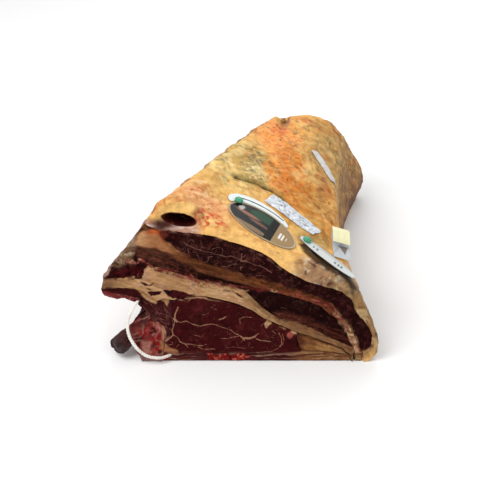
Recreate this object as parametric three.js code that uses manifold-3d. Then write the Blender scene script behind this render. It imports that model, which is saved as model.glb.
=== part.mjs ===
// A bone-in beef loin, dry aged, lying on its ribs with the front cut towards -Y.
// Millimetres, +Z up. The base is the plane z = 0, and the origin lies on it, under the eye of the meat.
// Every layer that shows at the cut runs through the whole length as its own solid.
import * as THREE from "three";
import { mergeVertices } from "three/addons/utils/BufferGeometryUtils.js";
import Module from "manifold-3d";

const wasm = await Module();
wasm.setup();

// Driving dimensions
const FRONT_Y = -178; // foot of the front cut
const REAR_Y = 252; // foot of the rear cut
const FRONT_LEAN = Math.tan(THREE.MathUtils.degToRad(14)); // the front cut leans back
const REAR_LEAN = -0.06; // the rear cut leans forward a little
const GAP = 0.45; // between touching solids
const CAGE_MARGIN = 6; // the cage stands this far outside the section
const WAIST = 47; // how far the flank side is drawn in half way along
const WAIST_TOP = 129; // height at which the waist has faded out
const WAIST_SPAN = [10, 140]; // x over which the waist grows towards the flank
const CREST = 6; // how far the back's ridge rises half way along
const CREST_SPAN = [110, 190]; // height over which the ridge grows
const WELD = 1e-4; // points closer than this become one
const RIM_SHARE = 0.012; // share of the length that the rounding of a cut edge takes
const STATIONS = [0.03, 0.1, 0.2, 0.31, 0.43, 0.55, 0.67, 0.79, 0.9]; // sections, as shares of the length

// Outline of the front cut as x, z, from the chine's foot along the base and back over the top.
const FRONT_OUTLINE = [
  [-138, 0], [-60, 0], [20, 0], [90, 0], [150, 0], [162, 8], [163, 22], [157, 42], [147, 66], [133, 90],
  [114, 112], [86, 121], [55, 132], [25, 147], [-10, 162], [-45, 177], [-62, 187], [-78, 200], [-93, 206],
  [-108, 201], [-124, 184], [-138, 165], [-154, 147], [-170, 128], [-182, 110], [-186, 92], [-176, 72],
  [-152, 43], [-148, 20],
];

// The same points on the rear cut, with the crease in the fat at its top edge.
const REAR_OUTLINE = [
  [-8, 0], [30, 0], [75, 0], [120, 0], [162, 0], [176, 12], [182, 30], [178, 46], [169, 62], [154, 90],
  [139, 115], [123, 135], [106, 145], [92, 147], [78, 146], [64, 143], [57, 141], [51, 139], [47, 133],
  [42, 139], [33, 134], [24, 125], [15, 113], [6, 101], [0, 90], [-4, 78], [-6, 60], [-8, 38], [-10, 16],
];

// Lines on the front cut, as x, z. Two solids share each line, and lines meet at equal end points.
const JOIN = {
  fatLeft: [-131, 174],
  upperTip: [-113, 167],
  upperFoot: [143, 8],
  fatFoot: [141, 0],
  seamLeft: [-153, 146],
  middleTip: [132, 15],
  seamFoot: [131, 0],
  middleLeft: [-183, 105],
  creamLeft: [-186, 92],
  creamFoot: [126, 0],
  eyeTop: [-95, 79],
  eyeCorner: [60, 38],
  boneSide: [-106, 27],
  ribLeft: [-107, 14],
  ribMiddle: [64, 13],
  ribRight: [126, 7],
  chineTop: [-152, 43],
  chineFoot: [-138, 0],
  chineHeel: [-110, 0],
};

const LINES = {
  skin: [JOIN.fatLeft, [-124, 184], [-108, 201], [-93, 206], [-78, 200], [-62, 187], [-45, 177], [-10, 162],
    [25, 147], [55, 132], [86, 121], [114, 112], [133, 90], [147, 66], [157, 42], [163, 22], [161, 8],
    [151, 0]],
  fatUnder: [JOIN.fatLeft, [-122, 170], JOIN.upperTip],
  fatOverMuscle: [JOIN.upperTip, [-97, 166], [-70, 162], [-42, 158], [-10, 147], [19, 135], [38, 119],
    [63, 105], [101, 93], [119, 86], [128, 76], [131, 62], [143, 49], [153, 36], [155, 21], JOIN.upperFoot],
  fatTail: [JOIN.upperFoot, JOIN.fatFoot],
  muscleUnder: [JOIN.upperTip, [-103, 150], [-86, 135], [-60, 122], [-25, 111], [10, 101], [49, 89], [80, 81],
    [96, 74], [112, 59], [125, 46], [133, 30], JOIN.upperFoot],
  seamUnder: [JOIN.seamLeft, [-134, 144], [-110, 132], [-86, 122], [-55, 111], [-25, 103], [5, 95], [35, 87],
    [62, 80], [84, 72], [102, 60], [113, 49], [122, 34], JOIN.middleTip],
  seamTail: [JOIN.middleTip, JOIN.seamFoot],
  middleUnder: [JOIN.middleLeft, [-165, 106], [-146, 107], [-134, 114], [-122, 121], [-98, 114], [-70, 105],
    [-38, 97], [-14, 93], [0, 82], [14, 68], [30, 57], [63, 41], [100, 28], JOIN.middleTip],
  creamOverNeck: [JOIN.creamLeft, [-165, 94], [-145, 94], [-130, 88], [-118, 78], [-106, 81], JOIN.eyeTop],
  creamOverEye: [JOIN.eyeTop, [-84, 82], [-66, 85], [-43, 81], [-19, 75], [0, 67], [20, 54], [40, 45],
    JOIN.eyeCorner],
  creamOverRib: [JOIN.eyeCorner, [80, 30], [104, 21], [122, 13], JOIN.ribRight],
  creamTail: [JOIN.ribRight, JOIN.creamFoot],
  eyeLeft: [JOIN.eyeTop, [-96, 62], [-97, 46], [-100, 35], JOIN.boneSide],
  eyeRight: [JOIN.eyeCorner, [57, 30], [60, 20], JOIN.ribMiddle],
  boneTop: [JOIN.chineTop, [-143, 48], [-129, 53], [-114, 50], [-106, 40], JOIN.boneSide],
  boneRight: [JOIN.boneSide, JOIN.ribLeft],
  boneHeel: [JOIN.ribLeft, JOIN.chineHeel],
  ribUnderEye: [JOIN.ribLeft, [-90, 13], [-50, 12], [-10, 12], [30, 12], JOIN.ribMiddle],
  ribUnderFat: [JOIN.ribMiddle, [95, 12], JOIN.ribRight],
};

// Points that a line gets when it is smoothed, where it isn't straight.
const LINE_STEPS = {
  skin: 30, fatUnder: 3, fatOverMuscle: 24, muscleUnder: 20, seamUnder: 22, middleUnder: 24, creamOverNeck: 9,
  creamOverEye: 12, creamOverRib: 5, eyeLeft: 5, eyeRight: 3, boneTop: 7, ribUnderEye: 8, ribUnderFat: 3,
};

// Depth of each solid's cut end behind the cut plane: dried muscle sinks and fat stands.
const SETBACK = {
  fat_cover: 1, upper_muscle: 6, upper_seam: 2.5, middle_muscle: 6.5, lower_seam: 1, neck_muscle: 4,
  eye_muscle: 0, rib_fat: 1.5, rib_meat: 3, chine: 1,
};

// How much the cut edge of each solid is rounded.
const RIM_INSET = {
  fat_cover: 2.6, upper_seam: 1, lower_seam: 1.5, rib_fat: 1.5, chine: 2,
};

// The hollow between the neck meat and the chine, as x, z on the front cut.
const HOLLOW_OUTLINE = [
  [-230, 94], [-186, 85], [-171, 80], [-161, 82], [-150, 77], [-140, 70], [-131, 61], [-129, 55], [-135, 51],
  [-147, 46], [-165, 40], [-230, 40],
];
const HOLLOW = {
  mouth: -230, // x of its open left side
  middle: 62, // height that it narrows to
  start: -12, // its first section, from the foot of the front cut
  depth: 150,
  drift: 62, // how far it follows the chine to the right over its depth
  narrowing: 0.8, // share of its size that it loses over its depth
  steps: 5,
};

// The pocket in the front rim of the fat.
const POCKET = { at: [-86, -134, 182], radii: [19, 46, 7.4], turn: -0.3, pitch: 0.15, dip: -0.12 };

// The trough in the fat under the stiff label.
const TROUGH = { at: [104, -125, 117.5], radii: [36, 15, 9], turn: -0.626, pitch: 0.3 };

// Grooves between the ribs, across the underside. drift is how far they shift to the flank along the loin.
const RIB_GROOVE = {
  radius: 15, sink: 11, length: 210, pitch: 62, count: 6, slant: 0.16, drift: 0.2, middle: [30, 8],
};

// Upright grooves between the vertebrae, along the chine's foot.
const VERTEBRA_GROOVE = { radius: 7, bite: 0.5, height: 62, middle: 16, count: 6, spread: 6.6 };

// The dried bone end beside the chine: its outer end, its direction inwards and its profile.
const STUMP = { at: [-170, -170, 14.5], inwards: [0.62, 0.74, 0.22], flatten: 0.9 };
const STUMP_PROFILE = [[0, 0], [9, 0.5], [12.5, 4], [13.2, 11], [12, 22], [10, 38], [9, 62], [0, 62]];

// The string is tied round the chine's front corner, and its ends lie against the neck and under the eye.
const STRING_RADIUS = 2.2;
const STRING_STEPS = 26;
const STRING_ROUTE = [
  [-126, -134, 82], [-137, -150, 78], [-146, -162, 70], [-151, -168, 58], [-152, -171.5, 46],
  [-149, -174.5, 34], [-141, -178, 21], [-131, -180.4, 12.5], [-120, -181, 9], [-110, -179.5, 8],
  [-101, -173, 7], [-94, -162, 6],
];

// Tags lie on the fat.
const TAG_THICK = 1;
const TAG_LIFT = 0.7; // height of a tag above the fat's facets
const PROBE_STEP = 4; // distance over which the fat's slope is measured
const LONG_LABEL_HEIGHTS = [133.2, 104]; // the stiff label's two ends, over the trough in the fat

// Each tag's centre in plan, the half of its length and the half of its width as vectors in plan, and how
// much narrower it is at its ends.
const TAGS = {
  oval_tag: { at: [14.5, -100.5], along: [41, -19], across: [8.5, 26.5] },
  paper_label: { at: [55, -54], along: [31, -19.5], across: [5, 11.5], taper: 0.15 },
  long_label: { at: [96.5, -119.5], along: [32.5, -23.5], across: [3, 7], taper: 0.6 },
  strip_label: { at: [104.5, 103], along: [12, -27], across: [3.2, 1.4], taper: 0.2 },
};
const OVAL_ENDS = 0.93; // share of a half turn that the oval's columns cover

// The card behind the oval: its middle and half sweep in half turns, and its reach in shares of the oval.
const CRESCENT = { middle: 0.61, sweep: 0.29, inner: 1.045, tip: 0.1, belly: 0.42, fullness: 0.8 };

// The label at the shoulder lies flat and then curls back over itself, as y, z from its front edge.
const CURL_PATH = [
  [-114, -2.2], [-107, -1.4], [-97, -0.5], [-86, -0.1], [-76, 1.2], [-68, 6.5], [-69, 14], [-78, 18],
  [-88, 15], [-94, 8],
];
const CURL = { left: 105, base: 119.5, width: 22, fall: 0.33, points: 30, columns: 3 };

// The round heads of the pins: their profile, and their place in plan with their lift.
const PIN_PROFILE = [[0, 0], [5.1, 0], [5.6, 1], [5.2, 2.5], [3.6, 3.8], [0, 4.4]];
const PINS = { pin_1: [-15, -69, 0.5], pin_2: [71, -100, 0.6] };

const FINISH = {
  fat: { color: 0xd9a441, roughness: 0.55 },
  muscle: { color: 0x4a1216, roughness: 0.5 },
  dryMuscle: { color: 0x2c0d10, roughness: 0.65 },
  seam: { color: 0xa4683a, roughness: 0.5 },
  cream: { color: 0xcfae73, roughness: 0.5 },
  bone: { color: 0xb9503f, roughness: 0.6 },
  driedBone: { color: 0x2a2422, roughness: 0.8 },
  string: { color: 0xf2f0ea, roughness: 0.8 },
  darkTag: { color: 0x1b2a20, roughness: 0.3 },
  whiteTag: { color: 0xe9ece8, roughness: 0.4 },
  greyPaper: { color: 0xb9bcc0, roughness: 0.7 },
  pin: { color: 0x53a57e, roughness: 0.4 },
  creamPaper: { color: 0xf0eab8, roughness: 0.6 },
};

const UP = new THREE.Vector3(0, 0, 1);
const DOWN = new THREE.Vector3(0, 0, -1);
const SKY = 400; // a height above the whole loin
const { lerp, smoothstep } = THREE.MathUtils;
const toVector = ([x, z]) => new THREE.Vector2(x, z);

function offsetOutline(points, distance) {
  // Moves each point of a counter-clockwise outline outwards along its bisector.
  return points.map((p, i) => {
    const before = points.at(i - 1);
    const after = points[(i + 1) % points.length];
    const a = p.clone().sub(before).normalize();
    const b = after.clone().sub(p).normalize();
    const normal = new THREE.Vector2(a.y + b.y, -a.x - b.x).normalize();
    const stretch = Math.min(2, 1 / Math.max(0.3, normal.dot(new THREE.Vector2(a.y, -a.x))));
    const moved = p.clone().addScaledVector(normal, distance * stretch);
    if (p.y === 0 && distance < 0) moved.y = 0;
    return moved;
  });
}

const frontCage = offsetOutline(FRONT_OUTLINE.map(toVector), CAGE_MARGIN);
const rearCage = offsetOutline(REAR_OUTLINE.map(toVector), CAGE_MARGIN);

function waistAt(x, z, t) {
  const low = Math.max(0, 1 - (z / WAIST_TOP) ** 2);
  return -WAIST * Math.sin(Math.PI * t) ** 1.2 * low * smoothstep(x, ...WAIST_SPAN);
}

function crestAt(frontZ, t) {
  return CREST * Math.sin(Math.PI * t) ** 0.7 * smoothstep(frontZ, ...CREST_SPAN);
}

function cageAt(t) {
  return frontCage.map((front, i) => {
    const x = lerp(front.x, rearCage[i].x, t);
    const z = lerp(front.y, rearCage[i].y, t);
    const crest = crestAt(front.y, t);
    return new THREE.Vector2(x + waistAt(x, z, t) - crest / 2, z + crest);
  });
}

function meanValueWeights(p) {
  // Weights that write a point of the front cut in terms of the cage's points.
  const spokes = frontCage.map((q) => q.clone().sub(p));
  const halfTan = spokes.map((a, i) => {
    const b = spokes[(i + 1) % spokes.length];
    return Math.tan(Math.atan2(a.cross(b), a.dot(b)) / 2);
  });
  const raw = spokes.map((a, i) => (halfTan.at(i - 1) + halfTan[i]) / a.length());
  const total = raw.reduce((sum, w) => sum + w, 0);
  return raw.map((w) => w / total);
}

const cages = new Map();
function place(p, t) {
  // Takes a point of the front cut to its place at share t of the length.
  if (!cages.has(t)) cages.set(t, cageAt(t));
  const cage = cages.get(t);
  let x = 0;
  let z = 0;
  meanValueWeights(p).forEach((w, i) => {
    x += w * cage[i].x;
    z += w * cage[i].y;
  });
  if (p.y < 0.01) z = 0;
  const y = lerp(FRONT_Y + z * FRONT_LEAN, REAR_Y + z * REAR_LEAN, t);
  return new THREE.Vector3(x, y, z);
}

function solidOf(positions, faces) {
  const geometry = new THREE.BufferGeometry().setFromPoints(positions);
  geometry.setIndex(faces.flat());
  return manifoldOf(geometry);
}

function manifoldOf(geometry) {
  const bare = geometry.clone();
  bare.deleteAttribute("normal");
  bare.deleteAttribute("uv");
  const merged = mergeVertices(bare, WELD);
  return new wasm.Manifold(new wasm.Mesh({
    numProp: 3,
    vertProperties: new Float32Array(merged.attributes.position.array),
    triVerts: new Uint32Array(merged.index.array),
  }));
}

function loft(outline, shares, shapeAt = (p) => p) {
  // A closed solid from one counter-clockwise outline carried along the length.
  const count = outline.length;
  const positions = shares.flatMap((t) => outline.map((p, i) => place(shapeAt(p, t, i), t)));
  const faces = [];
  for (let j = 0; j + 1 < shares.length; j++) {
    for (let i = 0; i < count; i++) {
      const k = (i + 1) % count;
      const [a, b] = [j * count + i, j * count + k];
      const [c, d] = [a + count, b + count];
      // The same diagonal is cut from both sides of a shared line, whose ends differ in this measure.
      if (outline[i].x - outline[i].y / 3 < outline[k].x - outline[k].y / 3) faces.push([a, d, b], [a, c, d]);
      else faces.push([a, c, b], [b, c, d]);
    }
  }
  const last = (shares.length - 1) * count;
  for (const [a, b, c] of THREE.ShapeUtils.triangulateShape(outline, [])) {
    faces.push([a, b, c], [last + a, last + c, last + b]);
  }
  return solidOf(positions, faces);
}

const smooth = {};
for (const [name, points] of Object.entries(LINES)) {
  const vectors = points.map(toVector);
  const steps = LINE_STEPS[name];
  smooth[name] = steps ? new THREE.SplineCurve(vectors).getSpacedPoints(steps) : vectors;
}

function closedOutline(...runs) {
  // Joins lines end to end, where "-name" runs a line backwards, and drops the repeated end points.
  const points = runs.flatMap((run) => {
    if (Array.isArray(run)) return run.map(toVector);
    return run.startsWith("-") ? smooth[run.slice(1)].toReversed() : smooth[run];
  });
  const kept = points.filter((p, i) => p.distanceTo(points.at(i - 1)) > 0.01);
  return THREE.ShapeUtils.isClockWise(kept) ? kept.reverse() : kept;
}

const OUTLINES = {
  fat_cover: closedOutline("skin", [JOIN.fatFoot], "-fatTail", "-fatOverMuscle", "-fatUnder"),
  upper_muscle: closedOutline("fatOverMuscle", "-muscleUnder"),
  upper_seam: closedOutline("fatUnder", "muscleUnder", "fatTail", [JOIN.seamFoot], "-seamTail", "-seamUnder"),
  middle_muscle: closedOutline("seamUnder", "-middleUnder", [[-182, 110], [-170, 128]]),
  lower_seam: closedOutline("middleUnder", "seamTail", [JOIN.creamFoot], "-creamTail", "-creamOverRib",
    "-creamOverEye", "-creamOverNeck"),
  neck_muscle: closedOutline("creamOverNeck", "eyeLeft", "-boneTop", [[-176, 72]]),
  eye_muscle: closedOutline("creamOverEye", "eyeRight", "-ribUnderEye", "-boneRight", "-eyeLeft"),
  rib_fat: closedOutline("creamOverRib", "-ribUnderFat", "-eyeRight"),
  rib_meat: closedOutline("ribUnderEye", "ribUnderFat", "creamTail", "-boneHeel"),
  chine: closedOutline("boneTop", "boneRight", "boneHeel", [JOIN.chineFoot, [-148, 20]]),
};

function layer(name) {
  const outline = offsetOutline(OUTLINES[name], -GAP / 2);
  const first = SETBACK[name] / (REAR_Y - FRONT_Y);
  if (!RIM_INSET[name]) return loft(outline, [first, ...STATIONS, 1]);
  const rim = offsetOutline(outline, -RIM_INSET[name]);
  const shares = [first, first + RIM_SHARE, ...STATIONS, 1 - RIM_SHARE, 1];
  return loft(outline, shares, (p, t, i) => (t === first || t === 1 ? rim[i] : p));
}

function placed(geometry, { at, turn = 0, pitch = 0, dip = 0, scale = [1, 1, 1] }) {
  // A solid scaled, dipped about X, pitched about Y, turned about Z and moved to its place.
  const matrix = new THREE.Matrix4().compose(
    new THREE.Vector3(...at),
    new THREE.Quaternion().setFromEuler(new THREE.Euler(dip, pitch, turn, "ZYX")),
    new THREE.Vector3(...scale),
  );
  return manifoldOf(geometry.clone().applyMatrix4(matrix));
}

function hollow() {
  // The space that the hollow takes: its outline, narrowing and drifting along the chine.
  const { mouth, middle, start, depth, drift, narrowing, steps } = HOLLOW;
  const outline = HOLLOW_OUTLINE.map(toVector);
  const closed = THREE.ShapeUtils.isClockWise(outline) ? outline.reverse() : outline;
  const positions = [];
  const faces = [];
  const count = closed.length;
  for (let j = 0; j <= steps; j++) {
    const share = j / steps;
    const size = 1 - narrowing * share ** 2;
    for (const p of closed) {
      const x = mouth + (p.x - mouth) * size + drift * share;
      const z = middle + (p.y - middle) * size;
      positions.push(new THREE.Vector3(x, FRONT_Y + start + z * FRONT_LEAN + depth * share, z));
    }
    if (j === steps) break;
    for (let i = 0; i < count; i++) {
      const k = (i + 1) % count;
      const [a, b] = [j * count + i, j * count + k];
      faces.push([a, b + count, b], [a, a + count, b + count]);
    }
  }
  const last = steps * count;
  for (const [a, b, c] of THREE.ShapeUtils.triangulateShape(closed, [])) {
    faces.push([a, b, c], [last + a, last + c, last + b]);
  }
  return solidOf(positions, faces);
}

function ellipsoid(spec) {
  return placed(new THREE.SphereGeometry(1, 20, 12), { ...spec, scale: spec.radii });
}

function ribGrooves() {
  const { radius, sink, length, pitch, count, slant, drift, middle } = RIB_GROOVE;
  const groove = new THREE.CylinderGeometry(radius, radius, length, 24).rotateZ(Math.PI / 2);
  return Array.from({ length: count }, (_, i) => {
    const y = (i - count / 2 + 0.5) * pitch;
    return placed(groove, { at: [middle[0] + y * drift, middle[1] + y, -sink], turn: slant });
  });
}

function vertebraGrooves() {
  const { radius, bite, height, middle, count, spread } = VERTEBRA_GROOVE;
  const groove = new THREE.CylinderGeometry(radius, radius, height, 12).rotateX(Math.PI / 2);
  const foot = toVector(JOIN.chineFoot);
  return Array.from({ length: count }, (_, i) => {
    const edge = place(foot, (i + 1) / spread);
    return placed(groove, { at: [edge.x - radius + bite, edge.y, middle] });
  });
}

function stump(grow = 0) {
  const profile = STUMP_PROFILE.map(([r, h]) => new THREE.Vector2(r === 0 ? 0 : r + grow, h));
  if (grow) {
    profile[0].y -= grow;
    profile.at(-1).y += grow;
    profile.at(-2).y += grow;
  }
  const inwards = new THREE.Vector3(...STUMP.inwards).normalize();
  const turn = new THREE.Quaternion().setFromUnitVectors(new THREE.Vector3(0, 1, 0), inwards);
  const geometry = new THREE.LatheGeometry(profile, 14);
  geometry.scale(1, 1, STUMP.flatten).applyQuaternion(turn).translate(...STUMP.at);
  return manifoldOf(geometry);
}

function tieString(grow = 0) {
  const route = new THREE.CatmullRomCurve3(STRING_ROUTE.map((p) => new THREE.Vector3(...p)));
  const section = new THREE.Shape().absarc(0, 0, STRING_RADIUS + grow, 0, 2 * Math.PI);
  const sweep = { steps: STRING_STEPS, curveSegments: 4, extrudePath: route };
  return manifoldOf(new THREE.ExtrudeGeometry(section, sweep));
}

function meshOf(name, solid, finish) {
  const made = solid.getMesh();
  const geometry = new THREE.BufferGeometry();
  geometry.setAttribute("position", new THREE.BufferAttribute(made.vertProperties, 3));
  geometry.setIndex(new THREE.BufferAttribute(made.triVerts, 1));
  geometry.computeVertexNormals();
  const mesh = new THREE.Mesh(geometry, new THREE.MeshStandardMaterial({ metalness: 0, ...finish }));
  mesh.name = name;
  return mesh;
}

const LAYER_FINISH = {
  fat_cover: FINISH.fat, upper_muscle: FINISH.dryMuscle, upper_seam: FINISH.seam,
  middle_muscle: FINISH.dryMuscle, lower_seam: FINISH.cream, neck_muscle: FINISH.muscle,
  eye_muscle: FINISH.muscle, rib_fat: FINISH.cream, rib_meat: FINISH.muscle, chine: FINISH.bone,
};

// What is cut out of each layer.
const socket = stump(GAP);
const stringWay = tieString(GAP);
const frontHollow = hollow();
const CUTS = {
  fat_cover: [ellipsoid(POCKET), ellipsoid(TROUGH)],
  lower_seam: [frontHollow],
  neck_muscle: [frontHollow, socket, stringWay],
  eye_muscle: [stringWay],
  chine: [frontHollow, socket, stringWay, ...vertebraGrooves()],
  rib_meat: [stringWay, ...ribGrooves()],
};

const loin = new THREE.Group();
const solids = {};
for (const [name, finish] of Object.entries(LAYER_FINISH)) {
  const cuts = CUTS[name] ?? [];
  solids[name] = cuts.reduce((solid, cut) => solid.subtract(cut), layer(name));
  loin.add(meshOf(name, solids[name], finish));
}
loin.add(meshOf("bone_stump", stump(), FINISH.driedBone));
loin.add(meshOf("tie_string", tieString(), FINISH.string));

// The tags lie on the fat, so their height is read from it with a ray straight down.
const probe = new THREE.Raycaster();
const fatMesh = loin.getObjectByName("fat_cover");
fatMesh.material.side = THREE.DoubleSide;
function fatHeight(x, y) {
  probe.set(new THREE.Vector3(x, y, SKY), DOWN);
  const hit = probe.intersectObject(fatMesh)[0];
  return hit ? hit.point.z : null;
}

function fatNormal(x, y) {
  const slopeX = (fatHeight(x + PROBE_STEP, y) - fatHeight(x - PROBE_STEP, y)) / (2 * PROBE_STEP);
  const slopeY = (fatHeight(x, y + PROBE_STEP) - fatHeight(x, y - PROBE_STEP)) / (2 * PROBE_STEP);
  return new THREE.Vector3(-slopeX, -slopeY, 1).normalize();
}

function tag(columns, rows, planAt, restAt = (p) => fatHeight(p.x, p.y), normalAt = fatNormal) {
  // A thin sheet from a grid over u and v in -1..1, laid on the fat unless restAt says another height.
  const under = [];
  const over = [];
  for (let i = 0; i <= columns; i++) {
    for (let j = 0; j <= rows; j++) {
      const u = (2 * i) / columns - 1;
      const v = (2 * j) / rows - 1;
      const p = planAt(u, v);
      const low = new THREE.Vector3(p.x, p.y, restAt(p, u));
      const normal = normalAt(p.x, p.y);
      under.push(low.clone().addScaledVector(normal, TAG_LIFT));
      over.push(low.addScaledVector(normal, TAG_LIFT + TAG_THICK));
    }
  }
  const count = under.length;
  const id = (i, j) => i * (rows + 1) + j;
  const faces = [];
  const quad = (a, b, c, d) => faces.push([a, b, c], [a, c, d]);
  for (let i = 0; i < columns; i++) {
    for (let j = 0; j < rows; j++) {
      const [a, b, c, d] = [id(i, j), id(i + 1, j), id(i + 1, j + 1), id(i, j + 1)];
      quad(a, d, c, b);
      quad(a + count, b + count, c + count, d + count);
    }
    quad(id(i, 0), id(i + 1, 0), id(i + 1, 0) + count, id(i, 0) + count);
    quad(id(i + 1, rows), id(i, rows), id(i, rows) + count, id(i + 1, rows) + count);
  }
  for (let j = 0; j < rows; j++) {
    quad(id(0, j + 1), id(0, j), id(0, j) + count, id(0, j + 1) + count);
    quad(id(columns, j), id(columns, j + 1), id(columns, j + 1) + count, id(columns, j) + count);
  }
  const made = solidOf([...under, ...over], faces);
  return made.volume() < 0 ? solidOf([...under, ...over], faces.map(([a, b, c]) => [a, c, b])) : made;
}

function planPoint({ at, along, across }, a, b) {
  return new THREE.Vector2(at[0] + along[0] * a + across[0] * b, at[1] + along[1] * a + across[1] * b);
}

function ovalPlan(u, v) {
  // Columns run across the oval, closer together at its ends.
  const angle = (Math.PI / 2) * u * OVAL_ENDS;
  return planPoint(TAGS.oval_tag, Math.sin(angle), v * Math.cos(angle));
}

function crescentPlan(u, v) {
  // The part of the card behind that shows past the oval's far side.
  const { middle, sweep, inner, tip, belly, fullness } = CRESCENT;
  const angle = Math.PI * (middle - sweep * u);
  const reach = inner + ((v + 1) / 2) * (tip + belly * Math.cos((Math.PI / 2) * u) ** fullness);
  return planPoint(TAGS.oval_tag, Math.cos(angle) * reach, Math.sin(angle) * reach);
}

function taperedPlan(name) {
  return (u, v) => planPoint(TAGS[name], u, v * (1 - TAGS[name].taper * Math.abs(u) ** 3));
}

function straightRest(p, u) {
  return lerp(...LONG_LABEL_HEIGHTS, (u + 1) / 2);
}

const TAG_SOLIDS = {
  oval_tag: [tag(14, 8, ovalPlan), FINISH.darkTag],
  crescent_label: [tag(16, 3, crescentPlan), FINISH.whiteTag],
  paper_label: [tag(12, 4, taperedPlan("paper_label")), FINISH.greyPaper],
  long_label: [tag(14, 3, taperedPlan("long_label"), straightRest, () => UP), FINISH.whiteTag],
  strip_label: [tag(14, 2, taperedPlan("strip_label")), FINISH.greyPaper],
};
for (const [name, [solid, finish]] of Object.entries(TAG_SOLIDS)) loin.add(meshOf(name, solid, finish));

function curledLabel() {
  const middle = new THREE.SplineCurve(CURL_PATH.map(toVector)).getSpacedPoints(CURL.points);
  const shape = new THREE.Shape(middle.map((p, i) => offsetFrom(middle, i, TAG_THICK / 2)));
  const back = middle.map((p, i) => offsetFrom(middle, i, -TAG_THICK / 2)).reverse();
  back.forEach((p) => shape.lineTo(p.x, p.y));
  const sheet = { depth: CURL.width, steps: CURL.columns, bevelEnabled: false };
  const geometry = new THREE.ExtrudeGeometry(shape, sheet);
  const toFat = new THREE.Matrix4().set(
    0, 0, 1, CURL.left,
    1, 0, 0, 0,
    0, 1, -CURL.fall, CURL.base,
    0, 0, 0, 1,
  );
  return manifoldOf(geometry.applyMatrix4(toFat));
}

function offsetFrom(points, i, distance) {
  const before = points[Math.max(0, i - 1)];
  const after = points[Math.min(points.length - 1, i + 1)];
  const along = after.clone().sub(before).normalize();
  return points[i].clone().add(new THREE.Vector2(-along.y, along.x).multiplyScalar(distance));
}
loin.add(meshOf("curled_label", curledLabel(), FINISH.creamPaper));

// The pins stand on the tags and square to them.
function pin([x, y, lift]) {
  const normal = fatNormal(x, y);
  const at = new THREE.Vector3(x, y, fatHeight(x, y) + lift);
  at.addScaledVector(normal, TAG_LIFT + TAG_THICK + GAP);
  const geometry = new THREE.LatheGeometry(PIN_PROFILE.map(toVector), 20).rotateX(Math.PI / 2);
  const turn = new THREE.Quaternion().setFromUnitVectors(UP, normal);
  return manifoldOf(geometry.applyQuaternion(turn).translate(at.x, at.y, at.z));
}
for (const [name, at] of Object.entries(PINS)) loin.add(meshOf(name, pin(at), FINISH.pin));

export default loin;
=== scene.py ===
"""The finish of a bone-in beef loin: a fine mesh and a material for each layer, tag, pin and string."""
import itertools
import math

import bpy
import numpy as np
from mathutils import Euler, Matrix
from mathutils.bvhtree import BVHTree


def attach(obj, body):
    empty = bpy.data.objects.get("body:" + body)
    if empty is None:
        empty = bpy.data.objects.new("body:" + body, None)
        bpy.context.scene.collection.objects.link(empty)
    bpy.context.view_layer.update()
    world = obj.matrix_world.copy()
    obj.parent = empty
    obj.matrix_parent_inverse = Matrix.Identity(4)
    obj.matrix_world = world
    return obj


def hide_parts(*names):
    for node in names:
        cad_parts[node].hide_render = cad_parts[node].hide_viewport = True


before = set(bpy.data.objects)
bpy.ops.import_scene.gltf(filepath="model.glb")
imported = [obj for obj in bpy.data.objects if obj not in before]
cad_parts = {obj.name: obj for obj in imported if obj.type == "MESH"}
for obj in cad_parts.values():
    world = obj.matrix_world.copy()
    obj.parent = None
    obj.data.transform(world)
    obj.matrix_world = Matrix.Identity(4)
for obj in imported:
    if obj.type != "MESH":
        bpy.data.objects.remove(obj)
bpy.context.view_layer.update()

MM = 1000.0  # millimetres in a metre: meshes are made in millimetres

# The cut ends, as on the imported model
FRONT_Y = -178.0
FRONT_LEAN = math.tan(math.radians(14))
REAR_Y = 252.0
REAR_LEAN = -0.06

LAYERS = ["fat_cover", "upper_muscle", "upper_seam", "middle_muscle", "lower_seam", "neck_muscle",
          "eye_muscle", "rib_fat", "rib_meat", "chine"]

# What kind of face a triangle is, and the longest edge it may keep, in millimetres
HIDDEN, SKIN, FRONT, REAR, UNDER = range(5)
EDGE_LIMIT = {HIDDEN: 1e6, SKIN: 2.6, FRONT: 1.3, REAR: 2.6, UNDER: 6.0}
VEIN_REACH = 6.0  # how far from a vein its distance is worked out
VEIN_EDGE = 0.6  # the longest edge near a vein
LEVELS = [14.0, 6.5, 3.2, 0.0]  # the mesh is refined and evened out in these steps
TOUCH = 1.2  # a face this close to another layer is out of sight
FRONT_DEPTH = 9.0  # steps between the layers show this far behind the front cut
REAR_DEPTH = 3.0
GROW = 0.2  # each layer grows by this, which closes the gaps between them


# Numbers over the surface

def linear(colour):
    """A colour given as 0 to 255 in sRGB, in linear light."""
    share = np.array(colour) / 255
    return np.where(share <= 0.04045, share / 12.92, ((share + 0.055) / 1.055) ** 2.4)


def step(low, high, value):
    """0 at low, 1 at high, with a smooth rise between."""
    share = np.clip((value - low) / (high - low), 0, 1)
    return share * share * (3 - 2 * share)


def lattice(cell):
    mixed = (cell[:, 0] * 73856093) ^ (cell[:, 1] * 19349663) ^ (cell[:, 2] * 83492791)
    mixed = (mixed ^ (mixed >> 13)) * 1274126177
    return ((mixed ^ (mixed >> 16)) & 0xFFFF) / 32767.5 - 1


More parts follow.
